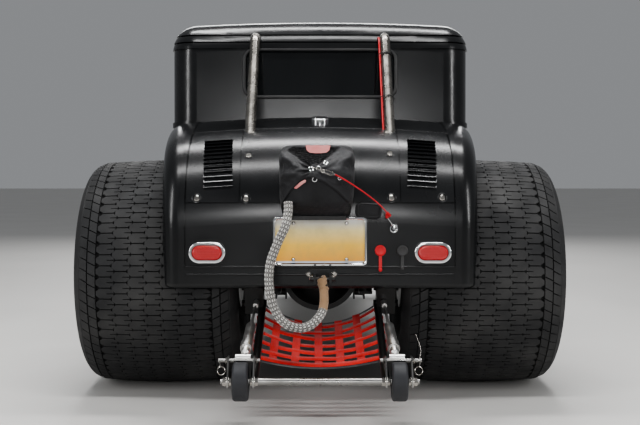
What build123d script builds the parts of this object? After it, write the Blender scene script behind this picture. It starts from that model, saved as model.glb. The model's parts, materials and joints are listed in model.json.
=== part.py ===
from build123d import *
import math
import os

os.makedirs("parts", exist_ok=True)

# A chopped street rod coupe with wide rear tyres, removable louvred deck panels, a parachute pack
# and a wheelie bar. Sizes are in millimetres. X is right, Y is forward and Z is up from the floor.
# Y is counted from the rear axle here, and the car is moved by REAR_AXLE_Y when it is written.

# Wheels and tyres
WHEELBASE = 2629.0
REAR_TRACK = 1140.0
FRONT_TRACK = 1430.0
REAR_TYRE_RADIUS = 419.0
REAR_TYRE_WIDTH = 560.0
FRONT_TYRE_RADIUS = 325.0
FRONT_TYRE_WIDTH = 165.0
RIM_RADIUS = 190.5
TYRE_WALL = 14.0
RIM_WALL = 7.0
LIP_HEIGHT = 14.0
SEAT_GAP = 0.3
RUN_GAP = 0.3
REAR_FLANGE_X = REAR_TRACK / 2 - 225
REAR_NOSE_RADIUS = 35.0

# Wheelie bar
BAR_WHEEL_RADIUS = 60.0
BAR_WHEEL_WIDTH = 48.0
BAR_WHEEL_X = 245.0
BAR_AXLE_Y = -750.0
BAR_AXLE_Z = 152.0
LOWER_BAR_X, LOWER_BAR_RADIUS = 203.0, 13.0
# Clevis bolt that carries the spring can, and the can's upper end and lower eye
CLEVIS_Y, CLEVIS_Z, CLEVIS_RADIUS = -718.0, 212.0, 6.0
CAN_TOP, CAN_EYE_X, CAN_EYE_RADIUS = (221.0, -349.5, 345.0), 238.0, 11.0
# Spring can: share of its length, and radius
CAN_PROFILE = (
    (0.0, 9.0), (0.08, 9.0), (0.08, 4.5), (0.44, 4.5), (0.44, 13.0), (0.47, 17.0), (0.76, 17.0),
    (0.76, 20.0), (0.86, 20.0), (0.86, 15.0), (0.93, 13.0), (0.95, 8.0), (1.0, 8.0),
)
# Slung net: its front and rear edges (y, z), and how far each sags
NET_NEAR, NET_FAR = (-318.0, 317.6), (-636.0, 197.9)
NET_SAG, NET_SHEET = 45.0, 8.0

REAR_AXLE_Y = -(WHEELBASE + FRONT_TYRE_RADIUS + BAR_AXLE_Y - BAR_WHEEL_RADIUS) / 2

# Body side, in plan: one arc through three half widths
TAIL_Y, TAIL_HALF = -470.0, 529.0
CAB_MID_Y, CAB_HALF = 500.0, 590.0
DOOR_FRONT_Y, DOOR_FRONT_HALF = 1325.0, 567.0

# Rear deck, in side view: upright panel, tight arc, then a long arc up to the cab
BODY_BOTTOM_Z = 405.0
TAIL_ARC_Z, TAIL_ARC_RADIUS = 632.0, 330.0
DECK_BREAK = 70.0
DECK_ARC_RADIUS = 1032.0
DECK_END_Y = 200.0
DECK_CROWN_RADIUS = 5500.0
QUARTER_END_Y = 160.0
DECK_SHOULDER_RADIUS = 60.0
PAN_ROLL_RADIUS = 16.0
# Ridges pressed across the tail panel, by height, and the bead down each quarter
TAIL_RIDGES = (453.0, 479.0)
RIDGE_HEIGHT, RIDGE_RISE = 8.0, 4.0
BEAD_WIDTH, BEAD_RISE = 16.0, 4.0
TAIL_WALL = 18.0

# Number plate bolts on the tail panel
PLATE_Z = 565.0
PLATE_HOLE_SPREAD, PLATE_HOLE_RISE, PLATE_HOLE_RADIUS = 178.0, 121.0, 3.2

# Tail lamps
LAMP_X, LAMP_Z = 378.0, 527.0
LAMP_WIDTH, LAMP_HEIGHT, LAMP_RIM = 125.0, 73.0, 11.0

# Deck panels
PANEL_HALF = 452.0
PANEL_SPLIT_X = 270.0
PANEL_BOTTOM_Z = 693.0
PANEL_TOP_Y = -220.0
SEAM_WIDTH, SEAM_DEPTH = 5.0, 5.0
LOUVRE_COUNT = 12
LOUVRE_WIDTH = 98.0
LOUVRE_X = 352.0
LOUVRE_START, LOUVRE_END = 22.0, 58.0
LOUVRE_RISE = 7.0
LOUVRE_RUN = 14.0
LOUVRE_SHEET = 1.6
LOUVRE_SINK = 0.6

# Cab
CAB_BACK_Y = 100.0
CAB_LEAN = 20.0
CAB_FRONT_Y = 1415.0
WINDSCREEN_LEAN = 52.0
ROOF_REAR_Z, ROOF_CROWN_Z, ROOF_FRONT_Z = 1370.0, 1384.0, 1360.0
COWL_BASE_Z = 1012.0
ROOF_CROWN_RADIUS = 9000.0
ROOF_CORNER_RADIUS = 110.0
CAB_CORNER_RADIUS = 101.0
CAB_WALL = 35.0
BELT_Z, BELT_HEIGHT, BELT_RISE, BELT_DROP = 992.0, 20.0, 6.0, 32.0
# Roof moulding: each step starts at a height and stands proud of the cab
CORNICE_STEPS = ((1274.0, 1296.0, 6.0), (1301.0, 1324.0, 9.0), (1329.0, 1500.0, 12.0))

# Cowl and hood
FIREWALL_Y, FIREWALL_HALF = 1700.0, 440.0
COWL_SHOULDER_Z, HOOD_SHOULDER_Z = 975.0, 900.0
HOOD_TOP_Z, HOOD_BOTTOM_Z = 985.0, 470.0
GRILLE_Y, GRILLE_DEPTH, GRILLE_HALF = WHEELBASE - 84, 70.0, 250.0
HOOD_WALL = 8.0
HOOD_GAP = 5.0
HINGE_Z_DROP = 5.0
HINGE_PIN_RADIUS = 4.0
HINGE_KNUCKLE_RADIUS = 8.0
HOOD_EDGE_X = 14.0
HOOD_LOUVRES = 18

# Doors and windows
DOOR_REAR_Y, DOOR_FORE_Y = 570.0, 1310.0
DOOR_SILL_Z, DOOR_TOP_Z = 440.0, 1246.0
DOOR_SLANT_Y = 1260.0
DOOR_GAP = 6.0
DOOR_HINGE_OUT = 13.0
DOOR_HINGE_LEVELS = (520.0, 735.0, 930.0)
WINDOW_LOW_Z, WINDOW_HIGH_Z = 1090.0, 1226.0
REAR_WINDOW_HALF, REAR_WINDOW_TOP_Z = 291.0, 1265.0
GLASS_INSET, GLASS_THICKNESS = 14.0, 5.0

# Wheel tubs and floor
ARCH_RADIUS = 445.0
TUB_WALL = 4.0
TUB_INNER_X = 270.0
AXLE_HOLE_RADIUS = 75.0
FLOOR_Z, FLOOR_THICKNESS = 431.0, 10.0
TRUNK_FLOOR_Z = 603.0
FLOOR_STEP_Y = 452.0
TUNNEL_HALF, TUNNEL_TOP_Z, TUNNEL_WALL = 140.0, 590.0, 8.0

# Frame rails
RAIL_WIDTH = 50.0
RAIL_OUTER_FRONT_X, RAIL_OUTER_REAR_X = 330.0, 250.0
RAIL_LOW_Z, RAIL_HIGH_Z = 330.0, 430.0
KICK_LOW_Z, KICK_HIGH_Z = 500.0, 602.0
RAIL_REAR_Y, RAIL_FRONT_Y = -400.0, WHEELBASE + 81
KICK_START_Y, KICK_RUN, RAIL_SPREAD_Y = 435.0, 140.0, 480.0
LINK_MOUNT_Y = 720.0
TOW_HOLE_RADIUS, TOW_HOLE_Y = 10.0, RAIL_FRONT_Y - 22

# Front axle
KINGPIN_INSET = 105.0
KINGPIN_X = FRONT_TRACK / 2 - KINGPIN_INSET
KINGPIN_RADIUS = 10.0
AXLE_BOSS_RADIUS, AXLE_BOSS_HALF = 22.0, 42.0
STEER_ARM_REACH = 150.0
TIE_ROD_Z = 250.0
SPRING_TOP_Z, SPRING_END_Z = 345.0, 294.0
ROD_X, ROD_EYE_X, ROD_EYE_Y, ROD_EYE_Z = 452.0, 400.0, WHEELBASE - 779, 316.0

# Roof stays
STAY_RADIUS = 19.0
STAY_X = 249.0
STAY_FOOT = (-250.0, 912.0)
STAY_KNEE = (62.0, 1312.0)
HOOP_Y, HOOP_Z, HOOP_HALF, HOOP_RADIUS = 330.0, 1306.0, 508.0, 20.0

VIEW = {
    "x": Plane(origin=(0, 0, 0), x_dir=(0, 1, 0), z_dir=(1, 0, 0)),
    "y": Plane(origin=(0, 0, 0), x_dir=(1, 0, 0), z_dir=(0, -1, 0)),
    "z": Plane.XY,
}
ALONG = {"x": Vector(1, 0, 0), "y": Vector(0, 1, 0), "z": Vector(0, 0, 1)}
parts = {}


def outline(view, start, *steps):
    """Closed face in a view. A step is an end point, or a pair (middle, end) for an arc."""
    edges, here = [], start
    for step in steps:
        if isinstance(step[0], tuple):
            edges.append(ThreePointArc(here, step[0], step[1]))
            here = step[1]
        else:
            edges.append(Line(here, step))
            here = step
    if here != start:
        edges.append(Line(here, start))
    return VIEW[view] * make_face(edges)


def prism(view, low, high, start, *steps):
    """The outline carried from one station to another along its view's axis."""
    return between(view, low, high, outline(view, start, *steps))


def between(view, low, high, face):
    return extrude(Pos(*(ALONG[view] * low)) * face, amount=high - low, dir=ALONG[view])


def block(x0, x1, y0, y1, z0, z1):
    return Pos((x0 + x1) / 2, (y0 + y1) / 2, (z0 + z1) / 2) * Box(x1 - x0, y1 - y0, z1 - z0)


def rod(a, b, radius):
    a, b = Vector(*a), Vector(*b)
    return extrude(Plane(origin=a, z_dir=b - a) * Circle(radius), amount=(b - a).length)


def tube(points, radius, bend):
    path = FilletPolyline(*points, radius=bend) if len(points) > 2 else Line(*points)
    return sweep(Plane(origin=path @ 0, z_dir=path % 0) * Circle(radius), path=path)


def turned(x, y, z, start, *steps):
    """Ring turned about an axle along X. The outline is in (x, radius)."""
    return Pos(x, y, z) * revolve(outline("z", start, *steps), axis=Axis.X)


def mirrored(shape):
    return mirror(shape, about=Plane.YZ)


def pair(shape):
    return Compound(children=[*shape.solids(), *mirrored(shape).solids()])


def circle_through(a, b, c):
    """Centre and radius of the circle through three points of the plane."""
    squares = [p[0] ** 2 + p[1] ** 2 for p in (a, b, c)]
    twice = 2 * (a[0] * (b[1] - c[1]) + b[0] * (c[1] - a[1]) + c[0] * (a[1] - b[1]))
    u = (squares[0] * (b[1] - c[1]) + squares[1] * (c[1] - a[1]) + squares[2] * (a[1] - b[1])) / twice
    v = (squares[0] * (c[0] - b[0]) + squares[1] * (a[0] - c[0]) + squares[2] * (b[0] - a[0])) / twice
    return u, v, math.dist((u, v), a)


SIDE_X, SIDE_Y, SIDE_RADIUS = circle_through(
    (TAIL_HALF, TAIL_Y), (CAB_HALF, CAB_MID_Y), (DOOR_FRONT_HALF, DOOR_FRONT_Y)
)


def body_half(y, inset=0.0):
    """Half width of the body side at a place along the car."""
    return SIDE_X + math.sqrt((SIDE_RADIUS - inset) ** 2 - (y - SIDE_Y) ** 2)


def plan_solid(y0, y1, inset, z0, z1):
    middle = (y0 + y1) / 2
    return prism(
        "z", z0, z1,
        (body_half(y0, inset), y0),
        ((body_half(middle, inset), middle), (body_half(y1, inset), y1)),
        (-body_half(y1, inset), y1),
        ((-body_half(middle, inset), middle), (-body_half(y0, inset), y0)),
    )


# The deck's two arcs have their centres on one line, so they meet without a corner.
TAIL_CENTRE = (TAIL_Y + TAIL_ARC_RADIUS, TAIL_ARC_Z)
BREAK = math.radians(DECK_BREAK)
DECK_CENTRE = (
    TAIL_CENTRE[0] + (DECK_ARC_RADIUS - TAIL_ARC_RADIUS) * math.cos(BREAK),
    TAIL_CENTRE[1] - (DECK_ARC_RADIUS - TAIL_ARC_RADIUS) * math.sin(BREAK),
)
DECK_TOP_Z = DECK_CENTRE[1] + DECK_ARC_RADIUS


def crowned(face, top, radius, half):
    """A side view face carried across the car round an axis far below, so its top is crowned."""
    angle = math.degrees(half / radius)
    centre = top - radius
    start = Pos(0, 0, centre) * Rot(Y=-angle) * Pos(0, 0, -centre) * face
    return revolve(start, axis=Axis((0, 0, centre), (0, 1, 0)), revolution_arc=2 * angle)


def deck_point(angle, inset=0.0):
    """Point (y, z) of the deck line, by the angle of its outward direction above the horizontal."""
    centre, radius = TAIL_CENTRE, TAIL_ARC_RADIUS
    if angle > DECK_BREAK:
        centre, radius = DECK_CENTRE, DECK_ARC_RADIUS
    turn = math.radians(angle)
    return (centre[0] - (radius - inset) * math.cos(turn), centre[1] + (radius - inset) * math.sin(turn))


def tail_solid(inset, bottom=BODY_BOTTOM_Z):
    """The whole rear body behind the cab, solid, drawn in by an inset."""
    low, high = TAIL_Y - 100, DECK_END_Y
    side = outline(
        "x",
        (TAIL_Y + inset, bottom - 100),
        (TAIL_Y + inset, TAIL_ARC_Z),
        (deck_point(DECK_BREAK / 2, inset), deck_point(DECK_BREAK, inset)),
        (deck_point((DECK_BREAK + 90) / 2, inset), deck_point(90, inset)),
        (high, DECK_TOP_Z - inset),
        (high, bottom - 100),
    )
    side = crowned(side, DECK_TOP_Z, DECK_CROWN_RADIUS, CAB_HALF + 90)
    solid = side & plan_solid(low, high, inset, bottom, DECK_TOP_Z + 50)
    chain = [
        edge
        for face in (solid.faces().sort_by(Axis.X)[0], solid.faces().sort_by(Axis.X)[-1])
        for edge in face.edges()
        if edge.center().Z > bottom + 1 and edge.center().Y < high - 1
    ]
    return fillet(chain, DECK_SHOULDER_RADIUS - inset)


def cab_solid(inset, bottom=BODY_BOTTOM_Z):
    """The closed cab from its back panel to the windscreen, solid, drawn in by an inset."""
    back, front = CAB_BACK_Y + inset, CAB_FRONT_Y - inset
    roof_front = front - WINDSCREEN_LEAN
    middle = (back + roof_front) / 2
    low = bottom - 100
    foot = back - CAB_LEAN * (DECK_TOP_Z - low) / (ROOF_REAR_Z - DECK_TOP_Z)
    side = outline(
        "x",
        (foot, low),
        (back + CAB_LEAN, ROOF_REAR_Z - inset),
        ((middle, ROOF_CROWN_Z - inset), (roof_front, ROOF_FRONT_Z - inset)),
        (front, COWL_BASE_Z),
        (front, low),
    )
    corners = [v for v in side.vertices() if v.center().Z > ROOF_FRONT_Z - inset - 1]
    side = fillet(corners, ROOF_CORNER_RADIUS - inset)
    side = crowned(side, ROOF_CROWN_Z, ROOF_CROWN_RADIUS, CAB_HALF + 90)
    solid = side & plan_solid(back - 90, front + 50, inset, bottom, ROOF_CROWN_Z + 50)
    chain = [
        edge
        for face in (solid.faces().sort_by(Axis.X)[0], solid.faces().sort_by(Axis.X)[-1])
        for edge in face.edges()
        if edge.center().Z > bottom + 1
    ]
    return fillet(chain, CAB_CORNER_RADIUS - inset)


def hood_section(y, half, shoulder, top, bottom):
    return Pos(0, y, 0) * outline(
        "y", (half, bottom), (half, shoulder),
        (crown_point(half, shoulder, top, 0.5), (0, top)),
        (crown_point(half, shoulder, top, -0.5), (-half, shoulder)),
        (-half, bottom),
    )


def crown_point(half, shoulder, top, share):
    """Point of the arc that runs from side to side over the top."""
    rise = top - shoulder
    radius = (half**2 + rise**2) / (2 * rise)
    x = half * share
    return (x, top - radius + math.sqrt(radius**2 - x**2))


def blend_value(low, high, share):
    return low + (high - low) * share


def cowl_solid(inset, bottom=BODY_BOTTOM_Z):
    y0, y1 = DOOR_FRONT_Y, FIREWALL_Y - inset
    sections = []
    for y in (y0, y1):
        share = (y - DOOR_FRONT_Y) / (FIREWALL_Y - DOOR_FRONT_Y)
        sections.append(
            hood_section(
                y,
                blend_value(body_half(DOOR_FRONT_Y), FIREWALL_HALF, share) - inset,
                blend_value(COWL_SHOULDER_Z, HOOD_SHOULDER_Z, share) - inset,
                blend_value(COWL_BASE_Z, HOOD_TOP_Z, share) - inset,
                bottom,
            )
        )
    return loft([s.faces()[0] for s in sections], ruled=True)


def hood_solid(inset, bottom=HOOD_BOTTOM_Z):
    y0, y1 = FIREWALL_Y + HOOD_GAP, GRILLE_Y - HOOD_GAP
    sections = [
        hood_section(y, half - inset, HOOD_SHOULDER_Z - inset, HOOD_TOP_Z - inset, bottom)
        for y, half in ((y0, FIREWALL_HALF), (y1, GRILLE_HALF - 4))
    ]
    return loft([s.faces()[0] for s in sections], ruled=True)


# Shared masses of the body
BELOW = BODY_BOTTOM_Z - 100
tail_outer = tail_solid(0)
tail_inner = tail_solid(TAIL_WALL, BELOW)
cab_outer = cab_solid(0) + cowl_solid(0)
cab_inner = cab_solid(CAB_WALL, BELOW) + cowl_solid(CAB_WALL, BELOW)
cab_clear = cab_solid(-SEAT_GAP, BELOW)
REAR_Z = REAR_TYRE_RADIUS


def arch_cylinder(radius, inner_x):
    """A cylinder on each side about the rear axle, from inside the tub out past the body."""
    one = rod((inner_x, 0, REAR_Z), (CAB_HALF + 120, 0, REAR_Z), radius)
    return one + mirrored(one)


arches = arch_cylinder(ARCH_RADIUS, TUB_INNER_X)
tub_clear = arch_cylinder(ARCH_RADIUS + TUB_WALL + SEAT_GAP, TUB_INNER_X - TUB_WALL - SEAT_GAP)


def stay_path(x, drop=0.0):
    return [
        (x, STAY_FOOT[0], STAY_FOOT[1] + drop),
        (x, STAY_KNEE[0], STAY_KNEE[1] + drop),
        (x, HOOP_Y - HOOP_RADIUS - SEAT_GAP, STAY_KNEE[1] + drop),
    ]


def stay(radius, x=STAY_X):
    return tube(stay_path(x), radius, 70)


stays = stay(STAY_RADIUS) + mirrored(stay(STAY_RADIUS))
stay_holes = stay(STAY_RADIUS + SEAT_GAP) + mirrored(stay(STAY_RADIUS + SEAT_GAP))

CABLE_RADIUS = 3.5
CABLE_X = STAY_X - STAY_RADIUS - CABLE_RADIUS - SEAT_GAP
cable_hole = stay(CABLE_RADIUS + SEAT_GAP, CABLE_X)


def belt_zone(grow=0.0):
    """The belt moulding's band across the car, lower towards its sides."""
    half, top = CAB_HALF + 60, BELT_Z + BELT_HEIGHT + grow
    low = BELT_Z - grow
    return prism(
        "y", CAB_BACK_Y - 80, DOOR_FRONT_Y, (-half, low - BELT_DROP), ((0, low), (half, low - BELT_DROP)),
        (half, top - BELT_DROP), ((0, top), (-half, top - BELT_DROP)),
    )


def seam_grooves():
    """The open lines between the removable panels, the tail panel and the quarters."""
    skin = tail_solid(-2) - tail_solid(SEAM_DEPTH)
    w, high = SEAM_WIDTH / 2, DECK_TOP_Z + 50
    lines = []
    for sign in (-1, 1):
        x = sign * PANEL_HALF
        lines.append(block(x - w, x + w, TAIL_Y - 50, PANEL_TOP_Y + w, TAIL_RIDGES[-1], high))
        x = sign * PANEL_SPLIT_X
        lines.append(block(x - w, x + w, TAIL_Y - 50, PANEL_TOP_Y, PANEL_BOTTOM_Z, high))
    span = PANEL_HALF + w
    lines.append(block(-span, span, TAIL_Y - 50, TAIL_Y + 50, PANEL_BOTTOM_Z - w, PANEL_BOTTOM_Z + w))
    lines.append(block(-span, span, PANEL_TOP_Y - w, PANEL_TOP_Y + w, PANEL_BOTTOM_Z, high))
    grooves = lines[0]
    for line in lines[1:]:
        grooves = grooves + line
    return grooves & skin


def quarter_beads():
    """A raised bead down each quarter, just outside the removable panels."""
    skin = tail_solid(-BEAD_RISE) - tail_solid(1)
    x0, x1 = PANEL_HALF + SEAM_WIDTH / 2, PANEL_HALF + SEAM_WIDTH / 2 + BEAD_WIDTH
    one = block(x0, x1, TAIL_Y - 50, CAB_BACK_Y - 20, TAIL_RIDGES[-1], DECK_TOP_Z + 50)
    return (one + mirrored(one)) & skin - cab_clear


def rear_body():
    shell = tail_outer - tail_inner - cab_clear - arches
    shell = shell - (cab_solid(-BELT_RISE - SEAT_GAP) & belt_zone(SEAT_GAP))
    shell = shell - block(-CAB_HALF - 50, CAB_HALF + 50, QUARTER_END_Y, DECK_END_Y + 50, BELOW, DECK_TOP_Z + 50)
    bottom_edges = [
        e for e in shell.edges()
        if abs(e.center().Z - BODY_BOTTOM_Z) < 0.01 and e.center().Y < TAIL_Y + 0.5 and e.length > 500
    ]
    shell = fillet(bottom_edges, PAN_ROLL_RADIUS)
    grooves = seam_grooves()
    shell = shell - grooves + (quarter_beads() - grooves) - stay_holes - cable_hole
    gap = SEAT_GAP / 2
    low, high = TAIL_Y - 50, PANEL_TOP_Y
    deck_zone = block(-PANEL_HALF, PANEL_HALF, low, high, PANEL_BOTTOM_Z, DECK_TOP_Z + 50)
    tail_zone = block(-PANEL_HALF, PANEL_HALF, low, high, BELOW, PANEL_BOTTOM_Z)
    parts["rear_quarters"] = shell - deck_zone - tail_zone
    tail = shell & block(
        -PANEL_HALF + gap * 2, PANEL_HALF - gap * 2, low, high, BELOW, PANEL_BOTTOM_Z - gap * 2
    )
    for x in (-PLATE_HOLE_SPREAD / 2, PLATE_HOLE_SPREAD / 2):
        for z in (PLATE_Z - PLATE_HOLE_RISE / 2, PLATE_Z + PLATE_HOLE_RISE / 2):
            tail = tail - rod((x, TAIL_Y - 5, z), (x, TAIL_Y + TAIL_WALL + 5, z), PLATE_HOLE_RADIUS)
    span = PANEL_HALF - SEAM_WIDTH
    for z in TAIL_RIDGES:
        ridge = block(-span, span, TAIL_Y - RIDGE_RISE, TAIL_Y + 2, z - RIDGE_HEIGHT / 2, z + RIDGE_HEIGHT / 2)
        tail = tail + fillet(ridge.faces().sort_by(Axis.Y)[0].edges().filter_by(Axis.X), RIDGE_RISE * 0.7)
    parts["tail_panel"] = tail - block(-46, 56, TAIL_Y - 9, TAIL_Y, 424, 471)
    deck = shell & block(
        -PANEL_HALF + gap * 2, PANEL_HALF - gap * 2, low, high - gap * 2, PANEL_BOTTOM_Z, DECK_TOP_Z + 50
    )
    for side in (-1, 1):
        seam = side * PANEL_SPLIT_X
        deck = deck - block(seam - gap, seam + gap, low, high, PANEL_BOTTOM_Z, DECK_TOP_Z + 50)
    for piece in deck_louvres():
        deck = deck + piece
    parts["deck_panels"] = deck


def deck_louvres():
    """Pressed louvres: a ramp that opens downhill, one row on each side panel."""
    wedges = []
    for i in range(LOUVRE_COUNT):
        angle = LOUVRE_START + (LOUVRE_END - LOUVRE_START) * i / (LOUVRE_COUNT - 1)
        y, z = deck_point(angle)
        plane = Plane(
            origin=(0, y, z), x_dir=(1, 0, 0),
            z_dir=(0, -math.cos(math.radians(angle)), math.sin(math.radians(angle))),
        )
        wedges.append(on_crown(plane * louvre(LOUVRE_WIDTH), LOUVRE_X))
    return [w for one in wedges for w in (one, mirrored(one))]


def on_crown(shape, x):
    """A piece made at the middle of the deck, carried out over its crown to a distance x."""
    centre = DECK_TOP_Z - DECK_CROWN_RADIUS
    turn = math.degrees(math.asin(x / (DECK_CROWN_RADIUS - 100)))
    return Pos(0, 0, centre) * Rot(Y=turn) * Pos(0, 0, -centre) * shape


def louvre(width):
    """One louvre on a panel in XY, its mouth towards -Y and its ridge falling to +Y."""
    ramp = Plane.YZ * make_face(Polyline((0, -1), (0, LOUVRE_RISE), (LOUVRE_RUN, -1), close=True))
    body = extrude(ramp, amount=width / 2, both=True)
    mouth = Plane.YZ * make_face(
        Polyline(
            (-1, -LOUVRE_SINK), (-1, LOUVRE_RISE - LOUVRE_SHEET), (LOUVRE_RUN * 0.6, -LOUVRE_SINK),
            close=True,
        )
    )
    return body - extrude(mouth, amount=width / 2 - LOUVRE_SHEET, both=True)


def door_outline():
    return outline(
        "x", (DOOR_REAR_Y, DOOR_SILL_Z), (DOOR_FORE_Y, DOOR_SILL_Z), (DOOR_FORE_Y, COWL_BASE_Z),
        (DOOR_SLANT_Y, DOOR_TOP_Z), (DOOR_REAR_Y, DOOR_TOP_Z),
    )


def door_window():
    face = outline(
        "x", (DOOR_REAR_Y + 55, WINDOW_LOW_Z), (DOOR_FORE_Y - 75, WINDOW_LOW_Z),
        (DOOR_SLANT_Y - 50, WINDOW_HIGH_Z), (DOOR_REAR_Y + 55, WINDOW_HIGH_Z),
    )
    return fillet(face.vertices(), 24)


def quarter_window():
    face = outline(
        "x", (265, WINDOW_LOW_Z), (505, WINDOW_LOW_Z), (505, WINDOW_HIGH_Z), (265, WINDOW_HIGH_Z)
    )
    return fillet(face.vertices(), 40)


def rear_window():
    face = outline(
        "y", (-REAR_WINDOW_HALF, WINDOW_LOW_Z), (REAR_WINDOW_HALF, WINDOW_LOW_Z),
        (REAR_WINDOW_HALF, REAR_WINDOW_TOP_Z), (-REAR_WINDOW_HALF, REAR_WINDOW_TOP_Z),
    )
    return fillet(face.vertices(), 36)


def windscreen():
    half = DOOR_FRONT_HALF - CAB_CORNER_RADIUS - 25
    face = outline(
        "y", (-half, 1040), (half, 1040), (half - 10, DOOR_TOP_Z), (-half + 10, DOOR_TOP_Z)
    )
    return fillet(face.vertices(), 30)


GLASS_BANDS = [
    # window, view, low station, high station
    (quarter_window, "x", 300, 700),
    (quarter_window, "x", -700, -300),
    (rear_window, "y", 60, 260),
    (windscreen, "y", 1280, 1460),
]


def cab():
    shell = cab_outer + (cab_solid(-BELT_RISE) & belt_zone())
    for low, high, rise in CORNICE_STEPS:
        shell = shell + (cab_solid(-rise) & block(-700, 700, 0, 1500, low, high))
    shell = shell - cab_inner
    shell = shell - tub_clear
    shell = shell - block(
        -TUB_INNER_X, TUB_INNER_X, CAB_BACK_Y - 50, CAB_BACK_Y + CAB_WALL + 40,
        BELOW, TRUNK_FLOOR_Z + FLOOR_THICKNESS + SEAT_GAP,
    )
    rail_x = RAIL_OUTER_FRONT_X + 10
    wall_y = FIREWALL_Y - CAB_WALL - 1
    shell = shell - block(-rail_x, rail_x, wall_y, FIREWALL_Y + 1, BELOW, RAIL_HIGH_Z + SEAT_GAP)
    bell_x = TUNNEL_HALF - TUNNEL_WALL
    shell = shell - block(-bell_x, bell_x, wall_y, FIREWALL_Y + 1, BELOW, TUNNEL_TOP_Z - TUNNEL_WALL)
    for window, view, low, high in GLASS_BANDS:
        shell = shell - between(view, low, high, window())
    shell = shell - stay_holes - cable_hole
    doors = {}
    door_zone = door_outline()
    door_body = offset(door_zone, amount=-DOOR_GAP, kind=Kind.INTERSECTION)
    for name, low, high in (("left", -700, -300), ("right", 300, 700)):
        door = shell & between("x", low, high, door_body)
        door = door - between("x", low, high, door_window())
        doors[name] = door
        shell = shell - between("x", low, high, door_zone)
    side = {"left": -1, "right": 1}
    for name, sign in side.items():
        for level in DOOR_HINGE_LEVELS:
            fixed, moving = door_hinge(sign, level)
            shell = shell + fixed
            doors[name] = doors[name] + moving
    parts["cab_shell"] = shell
    parts["door_left"] = doors["left"]
    parts["door_right"] = doors["right"]


DOOR_HINGE_Y = DOOR_FORE_Y - DOOR_GAP / 2 + 4
DOOR_HINGE_X = body_half(DOOR_HINGE_Y) + DOOR_HINGE_OUT


def door_hinge(sign, level):
    """Barrel hinge: an outer pair of knuckles with the pin on the cowl, one knuckle on the door."""
    x, y = sign * DOOR_HINGE_X, DOOR_HINGE_Y
    inner = sign * (body_half(DOOR_HINGE_Y) - 4)
    outer = sign * (DOOR_HINGE_X + 2)
    half, ear = 12.0, 14.0
    pin = rod((x, y, level - half - ear), (x, y, level + half + ear), 4.5)
    fixed = pin
    for z0, z1 in ((level - half - ear, level - half - RUN_GAP), (level + half + RUN_GAP, level + half + ear)):
        fixed = fixed + rod((x, y, z0), (x, y, z1), 8)
        fixed = fixed + block(min(inner, outer), max(inner, outer), y + 2, y + 36, z0, z1)
    moving = rod((x, y, level - half), (x, y, level + half), 8)
    moving = moving + block(min(inner, outer), max(inner, outer), y - 50, y - 2, level - half, level + half)
    moving = moving - rod((x, y, level - half - 1), (x, y, level + half + 1), 4.5 + RUN_GAP)
    return fixed, moving


def glass():
    band = cab_solid(GLASS_INSET) - cab_solid(GLASS_INSET + GLASS_THICKNESS)
    panes = []
    for window, view, low, high in GLASS_BANDS:
        face = offset(window(), amount=-SEAT_GAP)
        panes += (band & between(view, low, high, face)).solids()
    parts["fixed_glass"] = Compound(children=panes)
    face = offset(door_window(), amount=-SEAT_GAP)
    parts["door_glass_left"] = band & between("x", -700, -300, face)
    parts["door_glass_right"] = band & between("x", 300, 700, face)


def floor():
    inner = cab_solid(CAB_WALL + SEAT_GAP, BELOW) + cowl_solid(CAB_WALL + SEAT_GAP, BELOW)
    tail_room = tail_solid(TAIL_WALL + SEAT_GAP, BELOW)
    z0, z1 = FLOOR_Z, FLOOR_Z + FLOOR_THICKNESS
    slab = block(-CAB_HALF, CAB_HALF, FLOOR_STEP_Y, FIREWALL_Y - CAB_WALL - 1, z0, z1)
    tunnel = block(-TUNNEL_HALF, TUNNEL_HALF, FLOOR_STEP_Y, FIREWALL_Y - CAB_WALL - 1, z0, TUNNEL_TOP_Z)
    hollow = block(
        -TUNNEL_HALF + TUNNEL_WALL, TUNNEL_HALF - TUNNEL_WALL, FLOOR_STEP_Y - 9, FIREWALL_Y,
        z0 - 1, TUNNEL_TOP_Z - TUNNEL_WALL,
    )
    slab = (slab + tunnel) & inner
    trunk_low, trunk_high = TRUNK_FLOOR_Z, TRUNK_FLOOR_Z + FLOOR_THICKNESS
    trunk_x = TUB_INNER_X - TUB_WALL
    trunk = block(-trunk_x, trunk_x, TAIL_Y + TAIL_WALL + SEAT_GAP, FLOOR_STEP_Y, trunk_low, trunk_high)
    riser = block(-trunk_x, trunk_x, FLOOR_STEP_Y - 8, FLOOR_STEP_Y, z0, trunk_high)
    room = inner + tail_room
    outer = arch_cylinder(ARCH_RADIUS + TUB_WALL, TUB_INNER_X - TUB_WALL)
    tubs = (outer - arches) & room & block(-700, 700, -600, 600, BODY_BOTTOM_Z + 1, 1000)
    axle_hole = rod((-700, 0, REAR_Z), (700, 0, REAR_Z), AXLE_HOLE_RADIUS)
    whole = (slab - outer - hollow) + (riser - hollow) + trunk + tubs - axle_hole
    parts["floor"] = whole
    print("floor solids", len(whole.solids()))


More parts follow.
